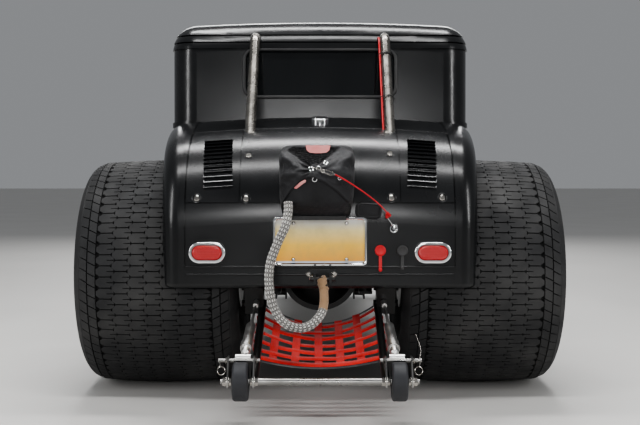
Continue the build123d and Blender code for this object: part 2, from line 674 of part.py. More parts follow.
def tyre(x, y, z, width, radius, crown, wall=TYRE_WALL):
    """Tyre section: bead, bulged side, rounded shoulder and a slightly crowned tread."""
    half = width / 2
    bead = half - 0.07 * width
    rim = RIM_RADIUS
    waist = rim + 0.55 * (radius - rim)
    shoulder = half - 0.12 * width
    edge = radius - crown

    def side(sign, inset):
        s = sign
        return [
            ((s * (half - inset), waist - 30), (s * (half - inset), waist)),
            ((s * (half - inset - 0.12 * (half - shoulder)), edge - 26 - inset * 0.4),
             (s * (shoulder - inset * 0.3), edge - inset)),
        ]

    right, left = side(1, 0), side(-1, 0)
    right_in, left_in = side(1, wall), side(-1, wall)
    steps = [
        (bead, rim + LIP_HEIGHT + 2), (bead + wall, rim + LIP_HEIGHT + 8), right[0][1], right[1],
        ((0, radius), left[1][1]), (left[1][0], left[0][1]),
        (-bead - wall, rim + LIP_HEIGHT + 8), (-bead, rim + LIP_HEIGHT + 2), (-bead, rim),
        (-bead + wall, rim), (-bead + 4, rim + 24), left_in[0][1], left_in[1],
        ((0, radius - wall), right_in[1][1]), (right_in[1][0], right_in[0][1]),
        (bead - 4, rim + 24), (bead - wall, rim),
    ]
    return turned(x, y, z, (bead, rim), *steps)


def rim(x, y, z, width, face_x, spokes, bore, pad):
    """Wheel: a barrel with lips and a spoked centre whose bore runs on the axle's nose."""
    bead = width / 2 - 0.07 * width
    outer = RIM_RADIUS - SEAT_GAP
    lip = RIM_RADIUS + LIP_HEIGHT
    inside = outer - RIM_WALL
    barrel = turned(
        x, y, z, (-bead - SEAT_GAP, outer), (bead + SEAT_GAP, outer), (bead + SEAT_GAP, lip),
        (bead + 6, lip), (bead + 6, inside), (-bead - 6, inside), (-bead - 6, lip), (-bead - SEAT_GAP, lip),
    )
    hub = turned(face_x, y, z, (-pad, bore), (pad, bore), (pad, 70), (-pad, 70))
    centre = hub
    for i in range(spokes):
        spoke = block(-pad * 0.7, pad * 0.7, -26, 26, 60, inside + 2)
        centre = centre + Pos(face_x, y, z) * Rot(X=360 / spokes * i) * spoke
    return barrel + centre


def rear_wheels():
    for name, sign in (("left", -1), ("right", 1)):
        x = sign * REAR_TRACK / 2
        parts[f"rear_tyre_{name}"] = tyre(x, 0, REAR_Z, REAR_TYRE_WIDTH, REAR_TYRE_RADIUS, 9)
        face = sign * (REAR_FLANGE_X + RUN_GAP + 14)
        parts[f"rear_wheel_{name}"] = rim(
            x, 0, REAR_Z, REAR_TYRE_WIDTH, face, 5, REAR_NOSE_RADIUS + RUN_GAP, 14
        )


def rear_axle():
    z = REAR_Z
    half = rod((0, 0, z), (REAR_FLANGE_X - 12, 0, z), 40) + rod(
        (REAR_FLANGE_X - 14, 0, z), (REAR_FLANGE_X, 0, z), 80
    ) + rod((REAR_FLANGE_X - 2, 0, z), (REAR_FLANGE_X + 32, 0, z), REAR_NOSE_RADIUS)
    half = half + rod((REAR_FLANGE_X - 45, 0, z), (REAR_FLANGE_X - 13, 0, z), 140)
    casing = revolve(
        outline("z", (0, -150), (60, -150), ((116, -90), (132, 0)), ((105, 85), (60, 130)), (60, 190),
                (0, 190)), axis=Axis.Y
    )
    ring = Pos(0, 0, z) * (rod((0, -62, 0), (0, -48, 0), 146))
    for x in (LINK_X - LINK_EYE_HALF - SEAT_GAP - 6, LINK_X + LINK_EYE_HALF + SEAT_GAP):
        half = half + block(x, x + 6, 20, 95, LINK_LEVELS[0][0] - 24, LINK_LEVELS[1][0] + 24)
    x0, x1 = DAMPER_X - 24, DAMPER_X + 24
    half = half + block(x0, x1, DAMPER_Y - 24, 0, 352 - SEAT_GAP - 10, 352 - SEAT_GAP)
    half = half + block(x0, x1, -35, 0, 342, 419)
    parts["rear_axle"] = half + mirrored(half) + Pos(0, 0, z) * casing + ring


def rear_suspension():
    solids = []
    front_y = LINK_MOUNT_Y - LINK_EYE_RADIUS - SEAT_GAP
    for level, front_z in LINK_LEVELS:
        for sign in (-1, 1):
            low, high = sign * LINK_X - LINK_EYE_HALF, sign * LINK_X + LINK_EYE_HALF
            bar = rod((sign * LINK_X, 75, level), (sign * LINK_X, front_y, front_z), 12)
            for y, z in ((75, level), (front_y, front_z)):
                bar = bar + rod((low, y, z), (high, y, z), LINK_EYE_RADIUS)
            solids.append(bar)
    for sign in (-1, 1):
        x = sign * DAMPER_X
        damper = rod((x, DAMPER_Y, 352), (x, DAMPER_Y, 470), 24)
        solids.append(damper + rod((x, DAMPER_Y, 460), (x, DAMPER_Y, 590 - SEAT_GAP), 14))
    parts["rear_suspension"] = Compound(children=[s for one in solids for s in one.solids()])


def frame_rails():
    side = prism(
        "x", 150, 400,
        (RAIL_FRONT_Y, RAIL_LOW_Z), (RAIL_FRONT_Y, RAIL_HIGH_Z),
        (KICK_START_Y, RAIL_HIGH_Z), (KICK_START_Y - KICK_RUN, KICK_HIGH_Z),
        (RAIL_REAR_Y, KICK_HIGH_Z), (RAIL_REAR_Y, KICK_LOW_Z),
        (KICK_START_Y - KICK_RUN - 60, KICK_LOW_Z), (KICK_START_Y - 60, RAIL_LOW_Z),
    )
    out_f, out_r, w = RAIL_OUTER_FRONT_X, RAIL_OUTER_REAR_X, RAIL_WIDTH
    plan = prism(
        "z", 200, 700,
        (out_r, RAIL_REAR_Y), (out_r, RAIL_SPREAD_Y), (out_f, RAIL_SPREAD_Y + 170),
        (out_f, RAIL_FRONT_Y), (out_f - w, RAIL_FRONT_Y),
        (out_f - w, RAIL_SPREAD_Y + 185), (out_r - w, RAIL_SPREAD_Y + 15), (out_r - w, RAIL_REAR_Y),
    )
    rail = side & plan
    frame = rail + mirrored(rail)
    for y0, y1, z0, z1, half in (
        (RAIL_REAR_Y, RAIL_REAR_Y + 50, KICK_LOW_Z, KICK_HIGH_Z, out_r - 10),
        (WHEELBASE - 40, WHEELBASE + 40, SPRING_TOP_Z + SEAT_GAP, RAIL_HIGH_Z, out_f - 10),
        (1290, 1350, RAIL_LOW_Z, RAIL_LOW_Z + 40, out_f - 10),
        (-130, -60, 590, KICK_HIGH_Z, out_r - 10),
        (LINK_MOUNT_Y, LINK_MOUNT_Y + 50, RAIL_LOW_Z, RAIL_LOW_Z + 40, out_f - 10),
    ):
        frame = frame + block(-half, half, y0, y1, z0, z1)
    for sign in (-1, 1):
        x0, x1 = sorted((sign * (LINK_X + 21), sign * (LINK_X - 21)))
        frame = frame + block(x0, x1, LINK_MOUNT_Y + 4, LINK_MOUNT_Y + 50, RAIL_LOW_Z, RAIL_HIGH_Z - 5)
        x0, x1 = sorted((sign * (out_f - w - 5), sign * (out_f + 5)))
        frame = frame - rod((x0, TOW_HOLE_Y, 380), (x1, TOW_HOLE_Y, 380), TOW_HOLE_RADIUS)
        x0, x1 = sorted((sign * (out_f - 5), sign * (ROD_EYE_X - 20 - SEAT_GAP)))
        frame = frame + block(x0, x1, ROD_EYE_Y - 18, ROD_EYE_Y + 18, ROD_EYE_Z - 14, RAIL_HIGH_Z - 50)
    parts["frame_rails"] = frame


LINK_X = 150.0
LINK_EYE_RADIUS, LINK_EYE_HALF = 16.0, 16.0
LINK_LEVELS = ((REAR_Z - 90, 340.0), (REAR_Z + 46, 376.0))
DAMPER_X, DAMPER_Y = 170.0, -95.0


def front_axle():
    y, z = WHEELBASE, FRONT_TYRE_RADIUS
    beam = prism(
        "y", y - 24, y + 24,
        (-KINGPIN_X, z + 18), (-545, z + 20), (-450, 272), (450, 272), (545, z + 20), (KINGPIN_X, z + 18),
        (KINGPIN_X, z - 18), (560, z - 22), (465, 216), (-465, 216), (-560, z - 22), (-KINGPIN_X, z - 18),
    )
    for face_y in (y - 25, y + 9):
        beam = beam - prism(
            "y", face_y, face_y + 16, (-455, 226), (455, 226), (448, 262), (-448, 262)
        )
    for sign in (-1, 1):
        x = sign * KINGPIN_X
        beam = beam + rod((x, y, z - AXLE_BOSS_HALF), (x, y, z + AXLE_BOSS_HALF), AXLE_BOSS_RADIUS)
        beam = beam + rod((x, y, z - 66), (x, y, z + 66), KINGPIN_RADIUS)
        beam = beam + rod((sign * 430, y, 268), (sign * 430, y, SPRING_END_Z - SEAT_GAP), 12)
        x0, x1 = sorted((sign * (ROD_X - 8), sign * (ROD_X + 8)))
        beam = beam + block(x0, x1, y - 24, y + 10, 262, 332)
    parts["front_axle"] = beam


def front_suspension():
    y = WHEELBASE
    spring = prism(
        "y", y - 22, y + 22,
        (-440, SPRING_END_Z + 8), ((0, SPRING_TOP_Z), (440, SPRING_END_Z + 8)), (440, SPRING_END_Z), (260, 308),
        ((0, SPRING_TOP_Z - 28), (-260, 308)), (-440, SPRING_END_Z),
    )
    solids = [spring]
    for sign in (-1, 1):
        ahead = y - 24 - SEAT_GAP - 0.8
        eye_x = sign * ROD_EYE_X
        upper = rod((sign * ROD_X, ahead, 318), (eye_x, ROD_EYE_Y + 10, ROD_EYE_Z + 6), 11)
        lower = rod((sign * ROD_X, ahead, 290), (eye_x, ROD_EYE_Y + 10, ROD_EYE_Z - 4), 11)
        eye = rod((eye_x - 20, ROD_EYE_Y, ROD_EYE_Z), (eye_x + 20, ROD_EYE_Y, ROD_EYE_Z), 22)
        solids.append(upper + lower + eye)
    parts["front_suspension"] = Compound(children=[s for one in solids for s in one.solids()])


def knuckle():
    """The right knuckle: two ears on the kingpin, an upright, the spindle and the steering arm."""
    y, z = WHEELBASE, FRONT_TYRE_RADIUS
    x = KINGPIN_X
    inner = AXLE_BOSS_HALF + RUN_GAP
    piece = None
    for z0, z1 in ((z - 64, z - inner), (z + inner, z + 64)):
        ear = rod((x, y, z0), (x, y, z1), 24) + block(x, x + 44, y - 20, y + 20, z0, z1)
        piece = ear if piece is None else piece + ear
    piece = piece + block(x + 28, x + 44, y - 24, y + 24, z - 64, z + 64)
    piece = piece + rod((x + 40, y, z), (x + 130, y, z), 16)
    piece = piece + rod((x + 36, y, z), (x + 56, y, z), 60)
    arm_end = (x - 22, y - STEER_ARM_REACH, z - 57)
    piece = piece + rod((x, y - 5, z - 57), arm_end, 6.5)
    piece = piece + rod((arm_end[0], arm_end[1], z - 64), (arm_end[0], arm_end[1], z - 50), 16)
    piece = piece - rod((x, y, z - 80), (x, y, z + 80), KINGPIN_RADIUS + RUN_GAP)
    return piece


def front_wheels():
    y, z = WHEELBASE, FRONT_TYRE_RADIUS
    parts["knuckle_right"] = knuckle()
    parts["knuckle_left"] = mirrored(parts["knuckle_right"])
    for name, sign in (("left", -1), ("right", 1)):
        x = sign * FRONT_TRACK / 2
        parts[f"front_tyre_{name}"] = tyre(x, y, z, FRONT_TYRE_WIDTH, FRONT_TYRE_RADIUS, 5, 9)
        face = sign * (KINGPIN_X + 56 + RUN_GAP + 12)
        parts[f"front_wheel_{name}"] = rim(x, y, z, FRONT_TYRE_WIDTH, face, 5, 16 + RUN_GAP, 12)
    end_x = KINGPIN_X - 22
    end_y = y - STEER_ARM_REACH
    top = z - 64 - RUN_GAP
    bar = rod((-end_x, end_y, TIE_ROD_Z), (end_x, end_y, TIE_ROD_Z), 10)
    for sign in (-1, 1):
        bar = bar + rod((sign * end_x, end_y, TIE_ROD_Z - 13), (sign * end_x, end_y, top), 14)
    parts["tie_rod"] = bar


def hood():
    shell = hood_solid(0) - hood_solid(HOOD_WALL, HOOD_BOTTOM_Z - 50)
    shell = shell - block(-HOOD_EDGE_X, HOOD_EDGE_X, 1600, 2700, 400, 1100)
    pin_z = HOOD_TOP_Z - HINGE_Z_DROP
    y0, y1 = FIREWALL_Y + HOOD_GAP + 10, GRILLE_Y - HOOD_GAP - 10
    count = 8
    pitch = (y1 - y0) / count
    for name, sign in (("left", -1), ("right", 1)):
        box = block(min(0, sign * 600), max(0, sign * 600), 1600, 2700, 400, 1100)
        half = shell & box
        for i in range(count):
            if (i % 2 == 0) == (sign > 0):
                a, b = y0 + pitch * i + 2.5, y0 + pitch * (i + 1) - 2.5
                leaf = block(*sorted((sign * 4, sign * (HOOD_EDGE_X + 4))), a, b, pin_z - 3, pin_z + 2)
                half = half + rod((0, a, pin_z), (0, b, pin_z), HINGE_KNUCKLE_RADIUS) + leaf
        half = half - rod((0, y0 - 50, pin_z), (0, y1 + 50, pin_z), HINGE_PIN_RADIUS + RUN_GAP)
        parts[f"hood_{name}"] = half + hood_louvres(sign)


def hood_louvres(sign):
    """A row of upright louvres along a hood side, mouths to the rear."""
    y0, y1 = FIREWALL_Y + HOOD_GAP, GRILLE_Y - HOOD_GAP
    slope = math.atan2(FIREWALL_HALF - GRILLE_HALF + 4, y1 - y0)
    rows = None
    for i in range(HOOD_LOUVRES):
        y = blend_value(y0 + 110, y1 - 90, i / (HOOD_LOUVRES - 1))
        x = blend_value(FIREWALL_HALF, GRILLE_HALF - 4, (y - y0) / (y1 - y0))
        plane = Plane(
            origin=(x, y, 690), x_dir=(0, 0, 1), z_dir=(math.cos(slope), math.sin(slope), 0)
        )
        one = plane * louvre(260)
        rows = one if rows is None else rows + one
    return rows if sign > 0 else mirrored(rows)


def grille_block(inset, y0, y1):
    """The radiator shell's outline, drawn in by an inset, from one station to another."""
    face = hood_section(
        y0, GRILLE_HALF + 6 - inset, HOOD_SHOULDER_Z + 6 - inset, HOOD_TOP_Z + 8 - inset,
        RAIL_HIGH_Z + SEAT_GAP + inset,
    )
    return extrude(face, amount=y1 - y0, dir=ALONG["y"])


def front_end():
    y0, y1 = GRILLE_Y, GRILLE_Y + GRILLE_DEPTH
    shell = grille_block(0, y0, y1)
    front = [e for e in shell.faces().sort_by(Axis.Y)[-1].edges()]
    shell = fillet(front, 14) - grille_block(28, y0 - 1, y1 + 1)
    pin_z = HOOD_TOP_Z - HINGE_Z_DROP
    shell = shell + rod((0, FIREWALL_Y + SEAT_GAP, pin_z), (0, y0 + 5, pin_z), HINGE_PIN_RADIUS)
    parts["grille_shell"] = shell
    core = grille_block(28 + SEAT_GAP, y0 + 6, y0 + 36)
    half = GRILLE_HALF + 6 - 28 - SEAT_GAP
    count = 15
    low, high = RAIL_HIGH_Z + 30, HOOD_SHOULDER_Z - 30
    for i in range(count):
        x = -half + 2 * half * (i + 0.5) / count
        core = core + rod((x, y0 + 40, low), (x, y0 + 40, high), 5)
    parts["grille"] = core
    lamp_x, lamp_y, lamp_z = 310.0, GRILLE_Y + 155, 790.0
    bucket = Pos(lamp_x, lamp_y, lamp_z) * revolve(
        outline("z", (0, -92), ((65.1, -65.1), (92, 0)), (92, 15), (82, 15), (82, 5), (0, 5)), axis=Axis.Y
    )
    post = rod((lamp_x, lamp_y - 35, RAIL_HIGH_Z + SEAT_GAP), (lamp_x, lamp_y - 35, lamp_z - 60), 13)
    lamp = bucket + post
    parts["headlamps"] = pair(lamp)
    lens = Pos(lamp_x, lamp_y, lamp_z) * revolve(
        outline("z", (0, 6), (81.5, 6), (81.5, 12), (41, 21), (0, 24)), axis=Axis.Y
    )
    parts["headlamp_lenses"] = pair(lens)


def powertrain():
    y = FIREWALL_Y + 90
    engine = block(-228, 228, y, y + 630, 400, 840) + block(-120, 120, y + 20, y + 490, 300, 405)
    engine = engine + rod((0, y - 190, 440), (0, y + 5, 440), 120) + block(-95, 95, y - 460, y - 170, 371, 520)
    for sign in (-1, 1):
        low, high = sorted((sign * 220, sign * (RAIL_OUTER_FRONT_X - RAIL_WIDTH - SEAT_GAP)))
        engine = engine + block(low, high, y + 290, y + 350, 405, 440)
    shaft = rod((0, y - 461, 430), (0, 192, REAR_Z), 38)
    parts["powertrain"] = Compound(children=[*engine.solids(), *shaft.solids()])


def exhaust():
    x, y = 254.0, FIREWALL_Y + 200
    log = block(228 + SEAT_GAP, 272, y - 50, y + 430, 560, 610)
    pipe = tube([(x, y, 570), (x, y, 400), (x, y - 160, 285), (x - 50, y - 400, 285),
                 (x - 50, 520, 285)], 22, 40)
    can = rod((x - 50, 860, 285), (x - 50, 1230, 285), 52)
    parts["exhaust"] = pair(log + pipe + can)


def interior():
    room = cab_solid(CAB_WALL + SEAT_GAP, BELOW) + cowl_solid(CAB_WALL + SEAT_GAP, BELOW)
    dash = block(-600, 600, DOOR_FORE_Y + 5, DOOR_FORE_Y + 45, 880, 962) & room
    column_a, column_b = (-240.0, FIREWALL_Y - CAB_WALL - 5.9, 745.0), (-240.0, 1075.0, 915.0)
    column = rod(column_a, column_b, 20) + block(-262, -218, DOOR_FORE_Y + 12, DOOR_FORE_Y + 38, 845, 890)
    along = (Vector(*column_b) - Vector(*column_a)).normalized()
    tip = Vector(*column_b) + along * 34
    column = column + rod(column_b, (tip.X, tip.Y, tip.Z), 9)
    parts["dashboard"] = dash + column
    plane = Plane(origin=Vector(*column_b) + along * RUN_GAP, z_dir=along)
    wheel = plane * (Pos(0, 0, 12) * (Cylinder(28, 24)))
    wheel = wheel + plane * (Pos(0, 0, 18) * Torus(165, 13))
    for i in range(3):
        wheel = wheel + plane * (Rot(Z=120 * i + 30) * Pos(90, 0, 14) * Box(150, 24, 5))
    wheel = wheel - rod(column_b, (tip.X, tip.Y, tip.Z), 9 + RUN_GAP)
    parts["steering_wheel"] = wheel
    seat = prism(
        "x", 20, 470,
        (470, FLOOR_Z + FLOOR_THICKNESS + SEAT_GAP), (960, FLOOR_Z + FLOOR_THICKNESS + SEAT_GAP),
        (985, 610), (620, 575), (520, 1075), (430, 1085), (470, 640),
    )
    seat = seat - block(0, TUNNEL_HALF + SEAT_GAP, 400, 1100, 400, TUNNEL_TOP_Z + SEAT_GAP)
    parts["seats"] = pair(seat)
    hoop = tube(
        [(-HOOP_HALF, HOOP_Y, 600), (-HOOP_HALF, HOOP_Y, HOOP_Z), (HOOP_HALF, HOOP_Y, HOOP_Z),
         (HOOP_HALF, HOOP_Y, 600)], HOOP_RADIUS, 110,
    )
    hoop = hoop + rod((-HOOP_HALF, HOOP_Y, 1010), (HOOP_HALF, HOOP_Y, 1010), 16)
    hoop = hoop - arch_cylinder(ARCH_RADIUS + TUB_WALL + SEAT_GAP, TUB_INNER_X - TUB_WALL - SEAT_GAP)
    parts["roll_cage"] = hoop


def tail_trim():
    solids, lenses = [], []
    for sign in (-1, 1):
        centre = (sign * LAMP_X, LAMP_Z)
        place = Pos(centre[0], TAIL_Y - SEAT_GAP, centre[1])
        wide, tall, rim_wide = LAMP_WIDTH, LAMP_HEIGHT, 2 * LAMP_RIM
        face = place * (VIEW["y"] * SlotOverall(wide, tall))
        hole = place * (VIEW["y"] * SlotOverall(wide - rim_wide, tall - rim_wide))
        bezel = extrude(face, amount=12, dir=(0, -1, 0))
        bezel = fillet(bezel.faces().sort_by(Axis.Y)[0].edges(), 6) - extrude(
            hole, amount=14, dir=(0, -1, 0)
        )
        close = rim_wide + 2 * SEAT_GAP
        inner = place * (VIEW["y"] * SlotOverall(wide - close, tall - close))
        lens = extrude(inner, amount=14, dir=(0, -1, 0))
        lens = fillet(lens.faces().sort_by(Axis.Y)[0].edges(), 8)
        solids += bezel.solids()
        lenses += lens.solids()
    parts["tail_lamps"] = Compound(children=solids)
    parts["tail_lenses"] = Compound(children=lenses)
    y = -120.0
    lean = math.asin((DECK_CENTRE[0] - y) / DECK_ARC_RADIUS)
    z = DECK_CENTRE[1] + DECK_ARC_RADIUS * math.cos(lean)
    plane = Plane(origin=(0, y, z), x_dir=(1, 0, 0), z_dir=(0, -math.sin(lean), math.cos(lean)))
    cap = plane * (Pos(0, 0, 5) * Cylinder(33.5, 18))
    cap = fillet(cap.edges().sort_by(lambda e: plane.to_local_coords(e.center()).Z)[-1:], 4)
    parts["filler_cap"] = cap - tail_solid(-SEAT_GAP)


PACK_X = -10.0
PACK_HALF = 112.0
PACK_BACKING = 3.0


def chute():
    skin = tail_solid(-SEAT_GAP - PACK_BACKING) - tail_solid(-SEAT_GAP)
    tray = skin & block(PACK_X - 96, PACK_X + 96, -500, -330, 652, 880)
    tray = tray + block(PACK_X - 96, PACK_X + 96, -545, TAIL_Y - SEAT_GAP - 0.5, 640, 643 + 10)
    parts["chute_tray"] = tray
    pack = prism(
        "x", PACK_X - PACK_HALF, PACK_X + PACK_HALF,
        (-400, 653.5), (-560, 653.5), (-596, 700), (-606, 790), (-570, 840), (-430, 884), (-340, 884),
        (-340, 700),
    )
    pack = pack - tail_solid(-2 * SEAT_GAP - PACK_BACKING, BELOW)
    parts["chute_pack"] = pack


# The tether's route: out of the pack, round its hanging loop and up to the bracket on the pan
TETHER_RADIUS = 14.5
TETHER_ROUTE = [
    (-103, -585, 700), (-100, -600, 655), (-118, -612, 607), (-142, -620, 557), (-160, -628, 507),
    (-165, -634, 457), (-160, -638, 407), (-147, -640, 359), (-119, -641, 318), (-76, -637, 297),
    (-31, -624, 303), (2, -601, 332), (16, -574, 372), (12, -544, 412),
]
PULL_RADIUS = 2.2
PULL_ROUTE = [
    (48, -612, 790), (75, -609, 776), (118, -595, 749), (162, -572, 718), (203, -540, 684),
    (222, -516, 662),
]


def cord_tube(route, radius):
    """Straight runs joined by arcs as large as the runs allow, and its length."""
    radii = []
    for before, here, after in zip(route, route[1:], route[2:]):
        a, b = Vector(*here) - Vector(*before), Vector(*after) - Vector(*here)
        half_turn = math.radians(a.get_angle(b)) / 2
        radii.append(0.45 * min(a.length, b.length) / math.tan(half_turn))
    path = FilletPolyline(*route, radius=radii)
    solid = sweep(Plane(origin=path @ 0, z_dir=path % 0) * Circle(radius), path=path)
    share = solid.volume / (math.pi * radius**2 * path.length)
    print("cord length", round(path.length, 1), "volume share", round(share, 4),
          "radii", [round(r) for r in radii])
    return solid


def cords():
    tether = cord_tube(TETHER_ROUTE, TETHER_RADIUS)
    parts["tether"] = tether
    a, b = Vector(*TETHER_ROUTE[-2]), Vector(*TETHER_ROUTE[-1])
    along = (b - a).normalized()
    top = b + along * 40
    thimble = rod((b.X, b.Y, b.Z), (top.X, top.Y, top.Z), TETHER_RADIUS)
    eye_x = top.X
    bolt = rod((eye_x - 42, top.Y, top.Z), (eye_x + 42, top.Y, top.Z), 7)
    base = block(eye_x - 45, eye_x + 45, TAIL_Y - 7, TAIL_Y - SEAT_GAP, 425, 470)
    bracket = thimble + bolt + base
    for x in (eye_x - 30, eye_x + 22):
        bracket = bracket + block(x, x + 8, top.Y - 14, TAIL_Y - 1, top.Z - 14, top.Z + 14)
    parts["tether_bracket"] = bracket
    parts["pull_cord"] = cord_tube(PULL_ROUTE, PULL_RADIUS)
    a, b = Vector(*PULL_ROUTE[-2]), Vector(*PULL_ROUTE[-1])
    pin = rod((b.X, b.Y, b.Z), tuple(b + (b - a).normalized() * 16), 5)
    end = b + (b - a).normalized() * 14
    pin = pin + rod(tuple(end), (end.X, TAIL_Y - SEAT_GAP, end.Z), 6)
    parts["pull_pin"] = pin
    cable = tube(stay_path(CABLE_X), CABLE_RADIUS, 70)
    parts["stay_cable"] = cable
    parts["roof_stays"] = Compound(children=stays.solids())


def wheelie_bar():
    wheel_x, y, z = BAR_WHEEL_X, BAR_AXLE_Y, BAR_AXLE_Z
    inner_x, outer_x = wheel_x - 40, wheel_x + 40
    pin_y, pin_z = CLEVIS_Y, CLEVIS_Z
    bars = []
    for sign in (-1, 1):
        bar_x = sign * LOWER_BAR_X
        lower = rod((bar_x, -285, 330), (bar_x, y + 8, z + 6), LOWER_BAR_RADIUS)
        bars.append(lower)
        for x in (inner_x, outer_x):
            plate = prism(
                "x", x - 2.5, x + 2.5,
                (y - 16, z - 16), (y + 16, z - 16), (pin_y + 16, pin_z + 12), (pin_y - 12, pin_z + 14),
                (y - 16, z + 10),
            )
            bars.append(plate if sign > 0 else mirrored(plate))
        ends = [(sign * x, pin_y, pin_z) for x in (inner_x - 18, outer_x + 32)]
        bars.append(rod(*ends, CLEVIS_RADIUS))
        bars.append(rod((sign * (inner_x - 4), y, z), (sign * (outer_x + 22), y, z), 8))
        clamp = prism(
            "x", 198, 262,
            (-330, 300), (-260, 300), (-250, 420), (-290, KICK_LOW_Z - SEAT_GAP),
            (-385, KICK_LOW_Z - SEAT_GAP), (-372, 420),
        )
        bars.append(clamp if sign > 0 else mirrored(clamp))
    bars.append(rod((-inner_x, y, z), (inner_x, y, z), 12))
    frame = bars[0]
    for piece in bars[1:]:
        frame = frame + piece
    parts["wheelie_frame"] = frame
    cans = []
    top, bolt = Vector(*CAN_TOP), Vector(CAN_EYE_X, pin_y, pin_z)
    end = bolt + (top - bolt).normalized() * (CLEVIS_RADIUS + CAN_EYE_RADIUS + SEAT_GAP)
    length = (end - top).length
    steps = [(share * length, radius) for share, radius in CAN_PROFILE]
    side = outline("z", (0, 0), *steps, (length, 0))
    can = Plane(origin=top, z_dir=end - top) * (Rot(Y=-90) * revolve(side, axis=Axis.X))
    eye = rod((end.X - 20, end.Y, end.Z), (wheel_x + 20, end.Y, end.Z), CAN_EYE_RADIUS)
    parts["wheelie_cans"] = pair(can + eye)
    for name, sign in (("left", -1), ("right", 1)):
        wheel = turned(
            sign * wheel_x, y, z, (-24, 8 + RUN_GAP), (24, 8 + RUN_GAP), (24, 50), ((21, 58), (14, 60)),
            (-14, 60), ((-21, 58), (-24, 50)),
        )
        parts[f"wheelie_wheel_{name}"] = wheel


def net():
    """The slung net, kept plain: a sagging sheet between the bars."""
    half, sag, sheet = LOWER_BAR_X - LOWER_BAR_RADIUS - SEAT_GAP, NET_SAG, NET_SHEET
    near, far = NET_NEAR, NET_FAR
    length = math.dist(near, far)
    plane = Plane(origin=(0, near[0], near[1]), x_dir=(1, 0, 0), z_dir=(0, far[0] - near[0], far[1] - near[1]))
    top = ThreePointArc((-half, 0), (0, -sag), (half, 0))
    low = ThreePointArc((half, -sheet), (0, -sag - sheet), (-half, -sheet))
    face = make_face([top, Line((half, 0), (half, -sheet)), low, Line((-half, -sheet), (-half, 0))])
    flipped = plane.y_dir.Z < 0
    sheet_solid = extrude(plane * (Rot(Z=180) * face if flipped else face), amount=length, dir=plane.z_dir)
    parts["net"] = sheet_solid


rear_body()
cab()
glass()
floor()
rear_wheels()
rear_axle()
rear_suspension()
frame_rails()
front_axle()
front_suspension()
front_wheels()
hood()
front_end()
powertrain()
exhaust()
interior()
tail_trim()
chute()
cords()
wheelie_bar()
net()

for name, shape in parts.items():
    solids = shape.solids()
    whole = solids[0] if len(solids) == 1 else Compound(children=solids)
    export_step(Pos(0, REAR_AXLE_Y, 0) * whole, f"parts/{name}.step")
print(len(parts), "nodes, rear axle at", REAR_AXLE_Y)
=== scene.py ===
import json
import math
import random

import bmesh
import bpy
from mathutils import Matrix, Vector
from mathutils.bvhtree import BVHTree

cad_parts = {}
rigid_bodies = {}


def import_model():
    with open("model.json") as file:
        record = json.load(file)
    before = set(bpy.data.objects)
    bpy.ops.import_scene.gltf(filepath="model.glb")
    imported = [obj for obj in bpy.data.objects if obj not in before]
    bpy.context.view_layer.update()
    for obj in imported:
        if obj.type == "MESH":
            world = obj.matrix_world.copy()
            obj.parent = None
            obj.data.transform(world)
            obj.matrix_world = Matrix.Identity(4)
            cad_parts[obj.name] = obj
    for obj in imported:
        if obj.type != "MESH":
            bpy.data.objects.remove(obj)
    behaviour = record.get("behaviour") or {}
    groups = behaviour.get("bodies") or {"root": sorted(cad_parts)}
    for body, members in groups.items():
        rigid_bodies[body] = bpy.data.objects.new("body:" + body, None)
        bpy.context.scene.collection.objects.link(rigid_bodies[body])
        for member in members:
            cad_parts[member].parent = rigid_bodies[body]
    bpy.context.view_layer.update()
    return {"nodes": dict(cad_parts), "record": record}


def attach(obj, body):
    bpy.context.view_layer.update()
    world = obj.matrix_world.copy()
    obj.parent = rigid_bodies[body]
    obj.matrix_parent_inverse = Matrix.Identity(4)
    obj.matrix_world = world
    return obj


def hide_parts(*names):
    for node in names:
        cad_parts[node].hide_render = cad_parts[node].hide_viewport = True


for spare in [o for o in bpy.data.objects if o.name in ("Cube", "Light", "Camera")]:
    bpy.data.objects.remove(spare)

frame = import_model()
nodes = frame["nodes"]

# A chopped street rod coupe. Sizes are in metres, and a place along the car is counted
# from the rear axle, as in the part's source, until at() moves it to the frame.
REAR_AXLE_Y = -1.072
WHEELBASE = 2.629

REAR_TYRE = {"x": 0.570, "y": 0.0, "z": 0.419, "half": 0.280, "crown": 0.009, "tread": 0.2128}
FRONT_TYRE = {"x": 0.715, "y": WHEELBASE, "z": 0.325, "half": 0.0825, "crown": 0.005, "tread": 0.0627}
RIM_RADIUS = 0.1905
TAIL_Y = -0.470

LENS, SENSOR = 56.0, 36.0
CAMERA_BACK, CAMERA_HEIGHT, CAMERA_PITCH = 3.794, 0.820, 2.73
FLOOR_HALF = 30.0


def at(x, y, z):
    return Vector((x, y + REAR_AXLE_Y, z))


def link(obj):
    bpy.context.scene.collection.objects.link(obj)
    return obj


# Gathering of shapes

class Shape:
    """Points and faces gathered for one mesh, with a material number for each face."""

    def __init__(self):
        self.points, self.faces, self.kinds = [], [], []

    def add(self, points, faces, matrix=None):
        start = len(self.points)
        for point in points:
            point = Vector(point)
            self.points.append(matrix @ point if matrix else point)
        self.faces += [[start + i for i in face] for face in faces]
        self.kinds += [0] * len(faces)


def grid_faces(rows, columns, close_rows=False, close_columns=False):
    """Quads of a grid whose points are stored row by row."""
    faces = []
    for i in range(rows if close_rows else rows - 1):
        for j in range(columns if close_columns else columns - 1):
            k, m = (i + 1) % rows, (j + 1) % columns
            faces.append((i * columns + j, i * columns + m, k * columns + m, k * columns + j))
    return faces


def turned(profile, turns=64):
    """A profile of (along, radius) turned about the X axis, with open ends."""
    points = []
    for i in range(turns):
        a = 2 * math.pi * i / turns
        points += [(x, r * math.cos(a), r * math.sin(a)) for x, r in profile]
    return points, grid_faces(turns, len(profile), close_rows=True)


